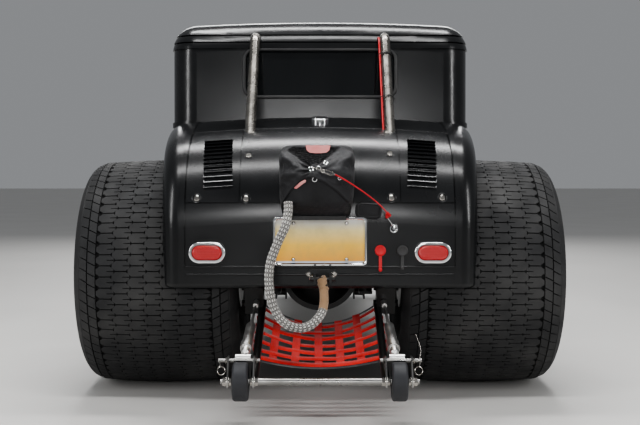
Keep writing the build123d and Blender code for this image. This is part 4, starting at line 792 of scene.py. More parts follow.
def net():
    """Woven straps: cross ones from bar to bar, looped under them, and lengthwise ones between."""
    shape = Shape()
    along = (at(0, *NET_FAR) - at(0, *NET_NEAR)).normalized()
    draw = random.Random(3)
    round_bar = BAR_RADIUS + 0.0014
    for i, share in enumerate(CROSS_SHARES):
        bar = [near + (far - near) * share for near, far in zip(NET_NEAR, NET_FAR)]
        loop = []
        for k in range(BAR_STEPS + 1):
            a = math.radians(190 + 32 * share + (170 - 32 * share) * k / BAR_STEPS)
            loop.append((BAR_X + round_bar * math.cos(a), round_bar * math.sin(a)))
        left = [at(-x, bar[0], bar[1] + up) for x, up in reversed(loop)]
        right = [at(x, bar[0], bar[1] + up) for x, up in loop]
        span = []
        slack = draw.uniform(-0.003, 0.002)
        places = [front + (rear - front) * share for front, rear in LONG_PLACES]
        for k in range(1, SPAN_STEPS):
            x = -NET_HALF + 2 * NET_HALF * k / SPAN_STEPS
            hang = slack * (1 - (x / NET_HALF) ** 2)
            span.append(net_point(x, share, woven_lift(places, x, 0.020, i) + hang))
        path = left + span + right
        tilt = draw.uniform(-0.10, 0.10)
        ups = [(t.cross(along).normalized() + along * tilt).normalized() for t in directions(path)]
        sides = [up.cross(t).normalized() for up, t in zip(ups, directions(path))]
        shape.add(*ribbon(path, sides, ups, STRAP_WIDE - 0.0035, STRAP_THICK))
    for j, (front, rear) in enumerate(LONG_PLACES):
        path = []
        for k in range(LONG_STEPS + 1):
            share = -0.085 + (HEM_SHARE + 0.100) * k / LONG_STEPS
            lift = woven_lift(CROSS_SHARES, share, 0.050, j + 1)
            tab = 0.004 * math.exp(-(((share + 0.06) / 0.02) ** 2))
            path.append(net_point(front + (rear - front) * share, share, lift + tab))
        side = (net_point(front + 0.01, 0.5) - net_point(front - 0.01, 0.5)).normalized()
        ups = [t.cross(side).normalized() for t in directions(path)]
        ups = [up if up.z > 0 else -up for up in ups]
        shape.add(*ribbon(path, [side] * len(path), ups, STRAP_WIDE + 0.0015, STRAP_THICK))
    obj = make("net_straps", shape, "webbing", crease=50)
    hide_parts("net")
    for name, share, low, wide, look in (
        ("net_hem", HEM_SHARE, 0.0014, 0.025, "webbing"),
        ("net_hem_backing", HEM_SHARE + 0.030, -0.0024, 0.018, "edging"),
        ("net_front_cord", -0.072, -0.001, 0.007, "edging"),
    ):
        edge = Shape()
        places = [-NET_HALF + 2 * NET_HALF * k / EDGE_STEPS for k in range(EDGE_STEPS + 1)]
        path = [net_point(x, share, low) for x in places]
        ups = [t.cross(along).normalized() for t in directions(path)]
        edge.add(*ribbon(path, [along] * len(path), ups, wide, 0.0062 if wide < 0.01 else 0.0018))
        make(name, edge, look, crease=50)


net()


# Number plate

def rounded_box(width, tall, corner, count=6):
    """Outline of a box with round corners, in XY."""
    outline = []
    for sx, sy, start in ((1, 1, 0), (-1, 1, 90), (-1, -1, 180), (1, -1, 270)):
        for k in range(count + 1):
            a = math.radians(start + 90 * k / count)
            outline.append((sx * (width / 2 - corner) + corner * math.cos(a),
                            sy * (tall / 2 - corner) + corner * math.sin(a)))
    return outline


def upright(x, y, z):
    """A matrix that stands an XY outline up in XZ, facing the rear, at a place."""
    return Matrix.Translation(at(x, y, z)) @ Matrix.Rotation(math.pi / 2, 4, "X")


# Rows of the plate's frame, as (inset, distance out), and its bolts' distances from the middle
RIM_ROWS = ((0.0, 0.0), (0.0, 0.010), (0.002, 0.013), (0.006, 0.014), (0.009, 0.012), (0.0105, 0.009))
BOLT_X, BOLT_Z = 0.089, 0.0605


def plate():
    face, rim, bolts = Shape(), Shape(), Shape()
    face.add(*slab(rounded_box(PLATE_WIDE, PLATE_TALL, 0.012), 0.0012),
             matrix=upright(0, TAIL_Y - 0.008, PLATE_Z))
    add_bevel(make("number_plate", face, "plate"), 0.0004)
    rows = []
    for inset, out in RIM_ROWS:
        wide, tall = PLATE_WIDE + 0.012 - 2 * inset, PLATE_TALL + 0.012 - 2 * inset
        rows.append([(x, y, out) for x, y in rounded_box(wide, tall, 0.015 - inset * 0.5)])
    rim.add(*lofted(rows), matrix=upright(0, TAIL_Y - 0.0006, PLATE_Z))
    make("plate_frame", rim, "chrome")
    for x in (-BOLT_X, BOLT_X):
        for z in (PLATE_Z - BOLT_Z, PLATE_Z + BOLT_Z):
            bolts.add(*disc([(0.004, 0), (0.004, 0.003), (0.003, 0.0062), (0.0, 0.007), (-0.009, 0.007),
                             (-0.009, 0)], 20), matrix=facing(at(x, TAIL_Y - 0.0086, z), (0, -1, 0)))
    make("plate_bolts", bolts, "nickel")


plate()


# Skins to set small pieces on

def tree_of(objects):
    """A search tree over several objects' faces, in the frame."""
    points, faces = [], []
    for obj in objects:
        start = len(points)
        points += [obj.matrix_world @ v.co for v in obj.data.vertices]
        faces += [[start + i for i in face.vertices] for face in obj.data.polygons]
    return BVHTree.FromPolygons(points, faces)


def from_behind(tree, x, z, start=-1.2):
    """The place and outward direction of a skin, seen from behind at x and z."""
    place, normal, _, _ = tree.ray_cast(at(x, start, z), Vector((0, 1, 0)))
    return place, (normal if normal.y < 0 else -normal)


bpy.context.view_layer.update()
tail_skin = tree_of([nodes[n] for n in ("deck_panels", "tail_panel", "rear_quarters", "cab_shell")])


# Parachute pack

PACK_X, PACK_LOW, PACK_HIGH = -0.010, 0.6535, 0.884
CLOSURE = (-0.019, 0.806)
ARCH = [(-0.135, 0.660), (-0.120, 0.700), (-0.096, 0.737), (-0.064, 0.768), (-0.042, 0.779),
        (-0.019, 0.780), (0.016, 0.764), (0.058, 0.733), (0.096, 0.695), (0.125, 0.655)]
# Creases that run out from the closure: angle, reach, depth, width
CREASES = [
    (174, 0.105, 0.0075, 0.0050), (158, 0.118, 0.0088, 0.0055), (143, 0.112, 0.0076, 0.0050),
    (190, 0.100, 0.0066, 0.0050), (204, 0.108, 0.0062, 0.0050), (219, 0.112, 0.0060, 0.0050),
    (10, 0.118, 0.0074, 0.0055), (24, 0.122, 0.0080, 0.0055), (38, 0.120, 0.0084, 0.0050),
    (-5, 0.115, 0.0064, 0.0050), (-19, 0.118, 0.0062, 0.0050), (-33, 0.110, 0.0052, 0.0050),
    (62, 0.050, 0.0030, 0.0055), (118, 0.052, 0.0030, 0.0055), (90, 0.040, 0.0022, 0.0060),
]


def applied(obj):
    """Turns an object's modifiers into its mesh."""
    bpy.context.view_layer.update()
    mesh = bpy.data.meshes.new_from_object(obj.evaluated_get(bpy.context.evaluated_depsgraph_get()))
    obj.modifiers.clear()
    old, obj.data = obj.data, mesh
    bpy.data.meshes.remove(old)
    return obj


def between_points(line, x):
    for (x0, z0), (x1, z1) in zip(line, line[1:]):
        if x0 <= x <= x1:
            return z0 + (z1 - z0) * (x - x0) / (x1 - x0)
    return line[0][1] if x < line[0][0] else line[-1][1]


def smooth(low, high, value):
    t = min(max((value - low) / (high - low), 0.0), 1.0)
    return t * t * (3 - 2 * t)


def pack_form(p):
    """Draws the plain block in to a stuffed form: round edges, ears and a dip between them."""
    x, y, z = p.x, p.y - REAR_AXLE_Y, p.z
    side, up = (x - PACK_X) / 0.112, (z - PACK_LOW) / (PACK_HIGH - PACK_LOW)
    out = smooth(-0.48, -0.60, y)
    narrow = 0.05 * (1 - up) ** 2 if side > 0 else 0.02 * (1 - up) ** 2
    x = PACK_X + (x - PACK_X) * (1.035 - narrow - 0.02 * out * (1 - 1.4 * abs(up - 0.5)))
    y += 0.030 * out * abs(side) ** 4 + 0.016 * out * (1 - smooth(0.0, 0.14, up))
    ear = smooth(0.55, 0.95, abs(side)) * math.exp(-(((y + 0.535) / 0.045) ** 2)) * smooth(0.70, 0.92, up)
    z += 0.016 * ear
    x += 0.006 * ear * (1 if side > 0 else -1)
    dip = math.exp(-(((x - CLOSURE[0]) / 0.050) ** 2))
    z -= 0.017 * dip * smooth(0.75, 0.95, up) * smooth(-0.52, -0.58, y)
    return at(x, y, z)


SWELL_FRAMES, SWELL_PRESSURE, SWELL_CAP = 20, 4.0, 0.009


def swell(obj, held):
    """Blows a cloth form up a little, held at some points, each point moving no farther than a cap."""
    start = [v.co.copy() for v in obj.data.vertices]
    group = obj.vertex_groups.new(name="held")
    group.add([v.index for v in obj.data.vertices if held(v)], 1.0, "REPLACE")
    cloth = obj.modifiers.new("swell", "CLOTH")
    cloth.settings.quality = 6
    cloth.settings.mass = 0.3
    cloth.settings.tension_stiffness = cloth.settings.compression_stiffness = 12
    cloth.settings.bending_stiffness = 0.4
    cloth.settings.use_pressure = True
    cloth.settings.uniform_pressure_force = SWELL_PRESSURE
    cloth.settings.effector_weights.gravity = 0
    cloth.settings.vertex_group_mass = "held"
    cloth.collision_settings.use_collision = False
    cloth.collision_settings.use_self_collision = False
    cloth.point_cache.frame_start, cloth.point_cache.frame_end = 1, SWELL_FRAMES
    for frame_number in range(1, SWELL_FRAMES + 1):
        bpy.context.scene.frame_set(frame_number)
    applied(obj)
    bpy.context.scene.frame_set(1)
    for v, first in zip(obj.data.vertices, start):
        move = v.co - first
        if move.length > SWELL_CAP:
            v.co = first + move * (SWELL_CAP / move.length)
    obj.vertex_groups.clear()


def pack_fold(x, z):
    """How far the cloth lies in at a place on the front, for its creases and its overlapping flap."""
    dx, dz = x - CLOSURE[0], z - CLOSURE[1]
    r = math.hypot(dx, dz)
    depth = 0.0
    lip = z - between_points(ARCH, x)
    above = smooth(-0.003, 0.0, lip)
    for angle, reach, deep, wide in CREASES:
        a = math.radians(angle)
        along, across = dx * math.cos(a) + dz * math.sin(a), -dx * math.sin(a) + dz * math.cos(a)
        if 0 < along < reach:
            bend = across - 0.10 * along * math.sin(along * 38 + angle)
            spread = wide * (0.35 + along / 0.055)
            fade = (1 - along / reach) ** 0.8 * along / (along + 0.008)
            depth += deep * fade * math.exp(-((bend / spread) ** 2)) * above
            depth -= deep * 0.55 * fade * math.exp(-(((bend - spread * 1.5) / spread) ** 2)) * above
    angle = math.degrees(math.atan2(dz, dx + 0.006))
    depth += 0.015 * smooth(34, 42, angle) * smooth(146, 136, angle) * smooth(0.006, 0.030, r)
    depth += 0.0075 * (1 - above)
    depth -= 0.0018 * math.exp(-(((lip - 0.004) / 0.004) ** 2))
    depth += 0.007 * math.exp(-((r / 0.011) ** 2))
    return depth


def soft_copy(node, name, voxel):
    """A copy of a node's solid, with even small faces, to be made soft."""
    source = nodes[node]
    obj = link(bpy.data.objects.new(name, source.data.copy()))
    obj.matrix_world = source.matrix_world
    bpy.context.view_layer.update()
    obj.data.transform(obj.matrix_world)
    obj.matrix_world = Matrix()
    remesh = obj.modifiers.new("even", "REMESH")
    remesh.mode, remesh.voxel_size = "VOXEL", voxel
    return applied(obj)


def covered(obj, look, node):
    """Finishes a soft piece that stands for a node's solid."""
    obj.data.materials.clear()
    obj.data.materials.append(paint[look])
    obj.data.shade_smooth()
    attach(obj, "chassis")
    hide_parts(node)
    return obj


SEAT_MIDDLE_X, CHANNEL_STEP, SEAT_CROWN_HALF = 0.245, 0.075, 0.225


def seat_pads():
    """Both seats, crowned between their edges, with sewn channels down cushion and back."""
    obj = soft_copy("seats", "seat_covers", 0.010)
    rounder = obj.modifiers.new("rounder", "SMOOTH")
    rounder.factor, rounder.iterations = 0.5, 9
    applied(obj)
    for v in obj.data.vertices:
        v.co -= v.normal * (0.005 if v.co.z > 0.47 else 0.0)
    for v in obj.data.vertices:
        front = smooth(0.35, 0.75, max(v.normal.z, v.normal.y)) * smooth(0.50, 0.56, v.co.z)
        across = (abs(v.co.x) - SEAT_MIDDLE_X) / CHANNEL_STEP
        seam = abs(across - round(across)) * CHANNEL_STEP if abs(across) < 2.4 else 1.0
        crown = 0.009 * front * max(0.0, 1 - (across * CHANNEL_STEP / SEAT_CROWN_HALF) ** 2)
        v.co += v.normal * (crown - front * 0.010 * math.exp(-((seam / 0.0075) ** 2)))
    return covered(obj, "trim", "seats")


def chute_pack():
    obj = soft_copy("chute_pack", "pack_cover", 0.0045)
    for v in obj.data.vertices:
        v.co = pack_form(v.co)

    def held(v):
        y = v.co.y - REAR_AXLE_Y
        near = math.hypot(v.co.x - CLOSURE[0], v.co.z - CLOSURE[1]) < 0.012
        return v.normal.y > 0.2 or v.co.z < PACK_LOW + 0.004 or (near and y < -0.5)

    swell(obj, held)
    finer = obj.modifiers.new("finer", "SUBSURF")
    finer.levels = finer.render_levels = 1
    applied(obj)
    for v in obj.data.vertices:
        y = v.co.y - REAR_AXLE_Y
        front = smooth(0.15, 0.55, -v.normal.y) * smooth(-0.44, -0.50, y)
        if front > 0:
            v.co.y += front * pack_fold(v.co.x, v.co.z)
            v.co.z += front * 0.0004 * math.sin(v.co.x * 310) * math.sin(v.co.z * 260)
    return covered(obj, "cloth", "chute_pack")


seat_pads()
pack_skin = tree_of([chute_pack()])

# Eyelets: x, z, radius, wire, lift off the cloth
PACK_EYELETS = [
    (-0.0295, 0.8065, 0.0070, 0.0020, 0.0030), (-0.0045, 0.8095, 0.0070, 0.0020, 0.0034),
    (0.0175, 0.8265, 0.0056, 0.0018, 0.0024), (-0.0170, 0.7745, 0.0070, 0.0020, 0.0040),
    (0.0620, 0.7780, 0.0050, 0.0017, 0.0040),
]


def lifted(x, z, lift):
    """A place at some height over the pack's front."""
    place, normal = from_behind(pack_skin, x, z)
    return place + normal * lift


def pack_eyelets():
    rings = Shape()
    for x, z, radius, wire, lift in PACK_EYELETS:
        place, normal = from_behind(pack_skin, x, z)
        normal = (normal + Vector((0, -1.2, 0))).normalized()
        rings.add(*ring(place + normal * lift, normal, radius, wire, 32, 8))
    make("pack_eyelets", rings, "chrome")


# Wires of the closing pin and its cable loop: radius, sides, then x, z and lift of each point
PIN_WIRES = [
    (0.0014, 10, ((-0.022, 0.812, 0.006), (-0.008, 0.803, 0.0075), (0.010, 0.794, 0.006),
                  (0.030, 0.788, 0.005))),
    (0.0009, 8, ((-0.010, 0.812, 0.004), (0.008, 0.803, 0.006), (0.030, 0.797, 0.006),
                 (0.048, 0.789, 0.006), (0.062, 0.779, 0.005))),
]


def pack_pin():
    pin = Shape()
    for radius, sides, places in PIN_WIRES:
        pin.add(*tube([lifted(*place) for place in places], radius, sides))
    pin.add(*ring(lifted(0.008, 0.795, 0.0075), (0.2, -1, 0.1), 0.0050, 0.0013, 24, 8))
    pin.add(*tube([lifted(0.010, 0.794, 0.006), lifted(0.030, 0.786, 0.009), at(*PULL_ROUTE[0])], 0.0010, 8))
    make("pack_pin", pin, "nickel")


# Outline of the pack's bare label, round its lower edge and back along its worn upper one
LABEL_OUTLINE = [
    (-0.041, 0.013), (-0.037, -0.004), (-0.028, -0.012), (-0.010, -0.0145), (0.010, -0.0145),
    (0.028, -0.012), (0.037, -0.004), (0.041, 0.013), (0.030, 0.0150), (0.012, 0.0135),
    (-0.006, 0.0150), (-0.024, 0.0135), (-0.034, 0.0155),
]


def pack_label():
    label = Shape()
    place = Matrix.Translation(at(-0.0065, -0.512, 0.872)) @ Matrix.Rotation(math.radians(66), 4, "X")
    label.add(*slab(LABEL_OUTLINE, 0.0012), matrix=place)
    make("pack_label", label, "label", crease=0)


def pack_tuft():
    """A bundle of frayed ends beside the closure."""
    tuft = Shape()
    draw = random.Random(5)
    for _ in range(9):
        a = lifted(-0.048 + draw.uniform(-0.002, 0.002), 0.770 + draw.uniform(-0.003, 0.003), 0.004)
        b = lifted(-0.078 + draw.uniform(-0.004, 0.004), 0.748 + draw.uniform(-0.003, 0.003), 0.004)
        middle = a.lerp(b, 0.5) + Vector((0, -0.003, draw.uniform(-0.002, 0.004)))
        tuft.add(*tube([a, middle, b], 0.0024, 8))
    make("pack_tuft", tuft, "label")


# The strap loop beside the pack: its middle (x, z), width, height, and rows of (inset, lift)
LOOP_X, LOOP_Z, LOOP_WIDE, LOOP_TALL = 0.162, 0.668, 0.088, 0.056
LOOP_ROWS = [(0.0, 0.0), (0.0, 0.0045), (0.0022, 0.0065), (0.0075, 0.0070), (0.010, 0.0050), (0.0125, 0.0052)]


def strap_loop():
    loop = Shape()
    rows = []
    for inset, lift in LOOP_ROWS:
        row = []
        for x, z in rounded_box(LOOP_WIDE - 2 * inset, LOOP_TALL - 2 * inset, max(0.020 - inset, 0.004)):
            lean = Matrix.Rotation(math.radians(-4), 2) @ Vector((x, z))
            place, normal = from_behind(tail_skin, LOOP_X + lean.x, LOOP_Z + lean.y)
            row.append(place + normal * (lift + 0.0004))
        rows.append(row)
    loop.add(*lofted(rows, capped=True))
    make("strap_loop", loop, "cloth")


pack_eyelets()
pack_pin()
pack_label()
pack_tuft()
strap_loop()


# Wheelie bar: its axle and clevis bolt as (y, z), and its fork plates' places and half thickness
BAR_AXLE, BAR_CLEVIS = (-0.750, 0.152), (-0.718, 0.212)
PLATE_INNER_X, PLATE_OUTER_X, PLATE_HALF = 0.205, 0.285, 0.0025


def paint_faces(node, look, inside):
    """Gives a second look to the faces of a node whose middles pass a test of (x, y, z)."""
    mesh = nodes[node].data
    mesh.materials.append(paint[look])
    number = len(mesh.materials) - 1
    world = nodes[node].matrix_world
    for face in mesh.polygons:
        middle = world @ face.center
        if inside(abs(middle.x), middle.y - REAR_AXLE_Y, middle.z):
            face.material_index = number


def bright_fork(x, y, z):
    """Fork plates, clevis bolts and axles are bright; the tubes and clamps stay black."""
    fork = y < -0.69 and any(abs(x - middle) < 0.003 for middle in (PLATE_INNER_X, PLATE_OUTER_X))
    return fork or math.dist((y, z), BAR_CLEVIS) < 0.0075 or math.dist((y, z), BAR_AXLE) < 0.0135


paint_faces("wheelie_frame", "fork_steel", bright_fork)


# Small pieces of the tail and the wheelie bar

def fastener(shape, place, normal, radius, tall, slotted=True):
    """A dished round head on a skin, with or without a slot across it."""
    shape.add(*disc([(-0.002, 0), (-0.002, radius), (tall * 0.5, radius), (tall, radius * 0.80),
                     (tall, radius * 0.55), (tall * 0.6, radius * 0.50), (tall * 0.6, 0)], 28),
              matrix=facing(place, normal))
    if slotted:
        shape.add(*slab([(-radius * 0.5, -0.0008), (radius * 0.5, -0.0008), (radius * 0.5, 0.0008),
                         (-radius * 0.5, 0.0008)], 0.0016),
                  matrix=facing(place + normal * (tall * 0.7), normal) @ Matrix.Rotation(math.pi / 2, 4, "Y"))


def hex_head(shape, place, direction, across, tall, washer=0.0):
    """A six-sided head of a width across its flats, on a washer of a radius if one is given."""
    radius = across / math.sqrt(3)
    matrix = facing(place, direction)
    if washer:
        shape.add(*disc([(-0.001, 0), (-0.001, washer), (0.0012, washer), (0.0016, washer - 0.0006),
                         (0.0016, 0)], 28), matrix=matrix)
    points = []
    for x, r in ((0.0, radius), (tall * 0.85, radius), (tall, radius * 0.88)):
        points += [(x, r * math.cos(math.pi * k / 3), r * math.sin(math.pi * k / 3)) for k in range(6)]
    faces = grid_faces(3, 6, close_columns=True) + [tuple(range(6)), tuple(range(12, 18))]
    shape.add(points, faces, matrix=matrix)


# Quarter-turn fasteners of the deck panels, and the bolts at the feet of the roof stays, as (x, z)
PANEL_FASTENERS = [(-0.2441, 0.8529), (-0.2477, 0.7075), (-0.4138, 0.7084),
                   (0.2390, 0.8588), (0.2394, 0.7095), (0.4099, 0.7104)]
STAY_BOLTS = [(-0.2413, 0.9323), (0.2363, 0.9323)]


def tail_fasteners():
    heads, dimples = Shape(), Shape()
    for x, z in PANEL_FASTENERS:
        place, normal = from_behind(tail_skin, x, z)
        fastener(heads, place, normal, 0.0098, 0.0036)
        dimples.add(*ring(place - normal * 0.0008, normal, 0.0150, 0.0018, 32, 8))
    for x, z in STAY_BOLTS:
        fastener(heads, *from_behind(tail_skin, x, z), 0.0085, 0.0040, False)
    make("panel_fasteners", heads, "nickel")
    make("panel_dimples", dimples, "panel")


# Knobs of the tail panel: name, look, x, z, and the height of the stem's foot
KNOBS = (("red_knob", "red_plastic", 0.2020, 0.534, 0.4665),
         ("black_knob", "black_plastic", 0.2757, 0.5335, 0.4725))
KNOB_PROFILE = [(0, 0), (0, 0.0185), (0.0035, 0.0190), (0.0075, 0.0175), (0.0090, 0.0150),
                (0.0070, 0.0110), (0.0070, 0)]
FOOT_PROFILE = [(0, 0), (0, 0.0065), (0.0085, 0.0062), (0.0105, 0.0040), (0.0105, 0)]


def tail_knobs():
    """Two round knobs with short stems below them, low on the tail panel."""
    for name, look, x, z, low in KNOBS:
        shape = Shape()
        for profile, turns, height in ((KNOB_PROFILE, 40, z), (FOOT_PROFILE, 24, low + 0.004)):
            shape.add(*disc(profile, turns), matrix=facing(at(x, TAIL_Y - 0.001, height), (0, -1, 0)))
        stem = rounded_box(0.0105, z - low - 0.008, 0.004)
        shape.add(*slab(stem, 0.0060), matrix=upright(x, TAIL_Y - 0.004, (z - 0.014 + low) / 2))
        make(name, shape, look)


# The tether's bracket, the top of its boot, the end of the pull cord's wrap, and its ring
BRACKET_X, BOOT_TOP = 0.005, (0.004, -0.5235, 0.4470)
WRAP_END, RING_X, RING_Z = (0.2225, -0.4995, 0.6475), 0.2455, 0.6085


def tether_end():
    """The tan sleeve over the tether's eye, and the bolt ends of its bracket."""
    low, high = at(*TETHER_ROUTE[-1]), at(*BOOT_TOP)
    boot, bolts = Shape(), Shape()
    before = (low - at(*TETHER_ROUTE[-2])).normalized()
    path = [low - before * 0.004]
    for k in range(11):
        path.append(low.lerp(high, k / 10) + before * (0.012 * math.sin(math.pi * k / 10)))

    def radius(i, turn):
        return 0.0158 + 0.0012 * math.sin(turn * 3 + i) + 0.0010 * math.sin(i * 2.1)

    boot.add(*tube(path, radius, 40))
    make("tether_boot", boot, "tan", crease=60)
    for way in (-1, 1):
        hex_head(bolts, at(BRACKET_X + way * 0.031, -0.506, 0.4465), (way, 0, 0), 0.0130, 0.0100, 0.0095)
        hex_head(bolts, at(BRACKET_X + way * 0.043, -0.4795, 0.4560), (0, -1, 0), 0.0100, 0.0055, 0.0078)
    make("bracket_bolts", bolts, "nickel")


def release_end():
    """The pull cord's far end: red wrap, wire and a ring bolt."""
    wrap, wire = Shape(), Shape()
    start, end = at(*PULL_ROUTE[-1]), at(*WRAP_END)
    path = [start.lerp(end, k / 10) for k in range(11)]
    wrap.add(*tube(path, lambda i, turn: 0.0046 + 0.0012 * math.sin(i * 2.6), 12))
    make("release_wrap", wrap, "red_plastic")
    eye = at(RING_X, TAIL_Y - 0.020, RING_Z)
    path = [end, end.lerp(eye, 0.5) + Vector((0.002, -0.004, 0)), eye + Vector((-0.004, 0, 0.010))]
    wire.add(*tube(path, 0.0013, 10))
    wire.add(*ring(eye, (0.15, -1, 0.2), 0.0118, 0.0024, 36, 10))
    wire.add(*ring(eye + Vector((0.006, 0.002, 0.006)), (0.7, -0.6, 0.1), 0.0085, 0.0017, 30, 8))
    wire.add(*tube([eye + Vector((0, 0.001, 0)), at(RING_X, TAIL_Y, RING_Z)], 0.0048, 14))
    make("release_ring", wire, "chrome")


# The right stay's place and slope, and its ties
STAY_X, STAY_FOOT, STAY_RAKE = 0.2455, (-0.250, 0.912), 0.78
TIE_HEIGHTS, TIE_STEPS = (1.232, 1.062), 32


def stay_ties():
    """Two cable ties that hold the red cable to the right stay."""
    shape = Shape()
    for z in TIE_HEIGHTS:
        centre = at(STAY_X, STAY_FOOT[0] + (z - STAY_FOOT[1]) * STAY_RAKE, z)
        path = []
        for k in range(TIE_STEPS + 1):
            a = 2 * math.pi * k / TIE_STEPS
            path.append(centre + Vector((0.0262 * math.cos(a), 0.0166 * math.sin(a), -0.0130 * math.sin(a))))
        shape.add(*tube(path, 0.0017, 8, caps=False))
        shape.add(*slab(rounded_box(0.007, 0.009, 0.0015), 0.006),
                  matrix=Matrix.Translation(centre + Vector((0.004, -0.0185, 0.012))))
    make("stay_ties", shape, "black_plastic")


# Bolts of the bar's clamps as (y, z), their faces, the end of a clevis pin, and a loose wire there
CLAMP_BOLTS = ((-0.345, 0.445), (-0.318, 0.392), (-0.300, 0.335))
CLAMP_REAR_BOLTS = ((-0.3845, 0.455), (-0.3834, 0.400))
CLAMP_OUTER_X, CLAMP_INNER_X, PIN_END_X = 0.2622, 0.1978, 0.3115
LOOSE_WIRE = ((0, 0.004, 0.006), (0.004, 0.010, 0.030), (-0.004, 0.016, 0.060), (-0.012, 0.022, 0.078))


def bar_fittings():
    """Nuts, split pins with their rings, and clamp bolts of the wheelie bar."""
    bright, dark = Shape(), Shape()
    for sign in (-1, 1):
        for middle, way in ((PLATE_OUTER_X, sign), (PLATE_INNER_X, -sign)):
            outside, inside = sign * middle + way * PLATE_HALF, sign * middle - way * PLATE_HALF
            hex_head(bright, at(outside, *BAR_AXLE), (way, 0, 0), 0.024, 0.013, 0.0165)
            hex_head(bright, at(inside, *BAR_AXLE), (-way, 0, 0), 0.022, 0.010, 0.0150)
            hex_head(bright, at(outside, *BAR_CLEVIS), (way, 0, 0), 0.017, 0.007)
        end = at(sign * PIN_END_X, *BAR_CLEVIS)
        low = end + Vector((sign * -0.004, -0.004, -0.032))
        for shift in (Vector((0, 0, 0)), Vector((0, 0.0021, 0.0006))):
            bright.add(*ring(low + shift, (0.25 * sign, -1, 0.12), 0.0128, 0.0010, 40, 8))
        pin = [(0, 0.009, 0.001), (0, -0.009, 0.001), (-sign * 0.001, -0.012, -0.008)]
        bright.add(*tube([end + Vector(p) for p in pin] + [low + Vector((0, -0.001, 0.0128))], 0.0012, 8))
        if sign > 0:
            bright.add(*tube([end + Vector(p) for p in LOOSE_WIRE], 0.0007, 6))
        for y, z in CLAMP_BOLTS:
            hex_head(dark, at(sign * CLAMP_OUTER_X, y, z), (sign, 0, 0), 0.021, 0.012, 0.0145)
            hex_head(dark, at(sign * CLAMP_INNER_X, y, z), (-sign, 0, 0), 0.021, 0.010, 0.0145)
        for y, z in CLAMP_REAR_BOLTS:
            hex_head(dark, at(sign * 0.232, y, z), (0, -1, 0), 0.017, 0.009, 0.0125)
        hex_head(bright, at(sign * 0.248, -0.383, 0.428), (0, -1, 0), 0.012, 0.007, 0.0095)
    make("bar_hardware", bright, "nickel")
    make("clamp_bolts", dark, "chassis")


# Outer faces of the wheels' pads, and the nuts' circle
REAR_PAD_X, FRONT_PAD_X = 0.3733, 0.6903
LUG_COUNT, LUG_CIRCLE = 5, 0.0540


def lug_nuts():
    """Nuts on each road wheel's pad."""
    for side_name, sign in SIDES:
        for name, size, face in (("rear", REAR_TYRE, REAR_PAD_X), ("front", FRONT_TYRE, FRONT_PAD_X)):
            shape = Shape()
            for k in range(LUG_COUNT):
                a = 2 * math.pi * k / LUG_COUNT
                y, z = size["y"] + LUG_CIRCLE * math.cos(a), size["z"] + LUG_CIRCLE * math.sin(a)
                hex_head(shape, at(sign * face, y, z), (sign, 0, 0), 0.020, 0.020, 0.013)
            make(f"{name}_nuts_{side_name}", shape, "chrome", body=f"{name}_wheel_{side_name}")


def gasket(shape, outline, cast, width=0.014, tall=0.006):
    """A rubber lip round a window: outline points are cast onto the cab's skin."""
    path, ups = [], []
    for a, b in outline:
        place, normal = cast(a, b)
        if place is None:
            continue
        path.append(place + normal * 0.001)
        ups.append(normal)
    n = len(path)
    points = []
    for k in range(n):
        t = (path[(k + 1) % n] - path[k - 1]).normalized()
        side = t.cross(ups[k]).normalized()
        for u, v in ((-0.5, 0.0), (-0.42, 0.7), (0.0, 1.0), (0.42, 0.7), (0.5, 0.0), (0.0, -0.3)):
            points.append(path[k] + side * (u * width) + ups[k] * (v * tall))
    shape.add(points, grid_faces(n, 6, close_rows=True, close_columns=True))


# Windows' rubbers: middle along or across the car, middle height, width, height, corner
REAR_RUBBER = (0.0, 1.1775, 0.592, 0.185, 0.040)
QUARTER_RUBBER = (0.385, 1.158, 0.249, 0.145, 0.044)


def window_rubbers():
    cab_skin = tree_of([nodes[n] for n in ("cab_shell", "door_left", "door_right")])

    def behind(x, z):
        return from_behind(cab_skin, x, z, -0.6)

    def beside(sign):
        def cast(y, z):
            place, normal, _, _ = cab_skin.ray_cast(at(sign * 0.9, y, z), Vector((-sign, 0, 0)))
            return place, (-normal if normal and normal.x * sign < 0 else normal)
        return cast

    def outline(along, height, wide, tall, corner):
        return [(along + a, height + b) for a, b in rounded_box(wide, tall, corner, 8)]

    shape = Shape()
    gasket(shape, outline(*REAR_RUBBER), behind)
    for sign in (-1, 1):
        gasket(shape, outline(*QUARTER_RUBBER), beside(sign), 0.010, 0.005)
    make("window_rubbers", shape, "black_plastic", crease=60)


tail_fasteners()
tail_knobs()
tether_end()
release_end()
stay_ties()
bar_fittings()
lug_nuts()
window_rubbers()


# Camera, light and floor

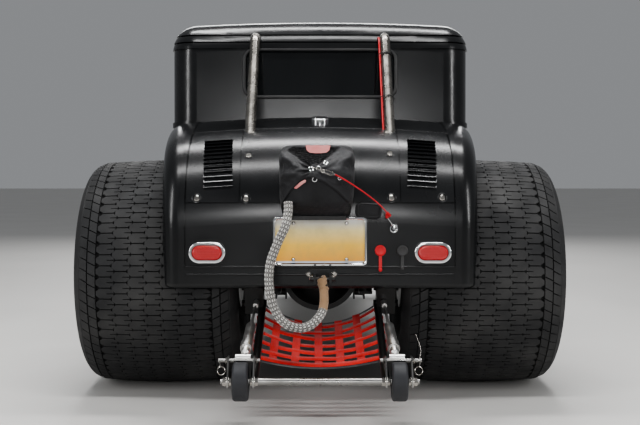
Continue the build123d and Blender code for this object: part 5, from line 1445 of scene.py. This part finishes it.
def stage():
    camera = bpy.data.objects.new("camera", bpy.data.cameras.new("camera"))
    camera.data.lens, camera.data.sensor_width = LENS, SENSOR
    camera.location = at(0, -CAMERA_BACK, CAMERA_HEIGHT)
    camera.rotation_euler = (math.radians(90 - CAMERA_PITCH), 0, 0)
    link(camera)
    bpy.context.scene.camera = camera
    mesh = bpy.data.meshes.new("floor_sheet")
    corners = [(x * FLOOR_HALF, y * FLOOR_HALF, 0) for x, y in ((-1, -1), (1, -1), (1, 1), (-1, 1))]
    mesh.from_pydata(corners, [], [(0, 1, 2, 3)])
    ground = Nodes("pale_floor", (0.60, 0.59, 0.57), 0.55)
    ground.rough(ground.noise(1.5, 5.0), 0.5, 0.65)
    mesh.materials.append(ground.material)
    link(bpy.data.objects.new("floor_sheet", mesh))
    world = bpy.data.worlds.new("studio")
    world.use_nodes = True
    world.node_tree.nodes["Background"].inputs["Color"].default_value = (0.80, 0.82, 0.85, 1)
    world.node_tree.nodes["Background"].inputs["Strength"].default_value = 0.30
    bpy.context.scene.world = world
    bpy.context.scene.view_settings.view_transform = "AgX"
    bpy.context.scene.view_settings.look = "AgX - Medium High Contrast"
    lights = [
        # name, place, aimed at, width, height, power
        ("overhead", (0.0, 0.8, 4.2), (0.0, -0.3, 0.9), 3.2, 0.40, 120),
        ("overhead_back", (0.0, -1.6, 4.2), (0.0, -0.4, 0.9), 3.2, 0.38, 90),
        ("low_fill", (0.0, -5.6, 1.5), (0.0, -0.6, 0.4), 1.6, 0.8, 55),
        ("left_strip", (-3.6, -2.6, 2.0), (-0.3, -0.3, 0.8), 0.35, 2.6, 62),
        ("right_strip", (3.6, -2.6, 2.0), (0.3, -0.3, 0.8), 0.35, 2.6, 62),
        ("front_fill", (0.0, 6.0, 3.4), (0.0, 1.4, 0.7), 4.0, 2.0, 170),
    ]
    for name, place, target, wide, tall, power in lights:
        data = bpy.data.lights.new(name, "AREA")
        data.shape, data.size, data.size_y, data.energy = "RECTANGLE", wide, tall, power
        lamp = link(bpy.data.objects.new(name, data))
        lamp.location = at(*place)
        lamp.rotation_euler = (at(*target) - at(*place)).to_track_quat("-Z", "Y").to_euler()


stage()
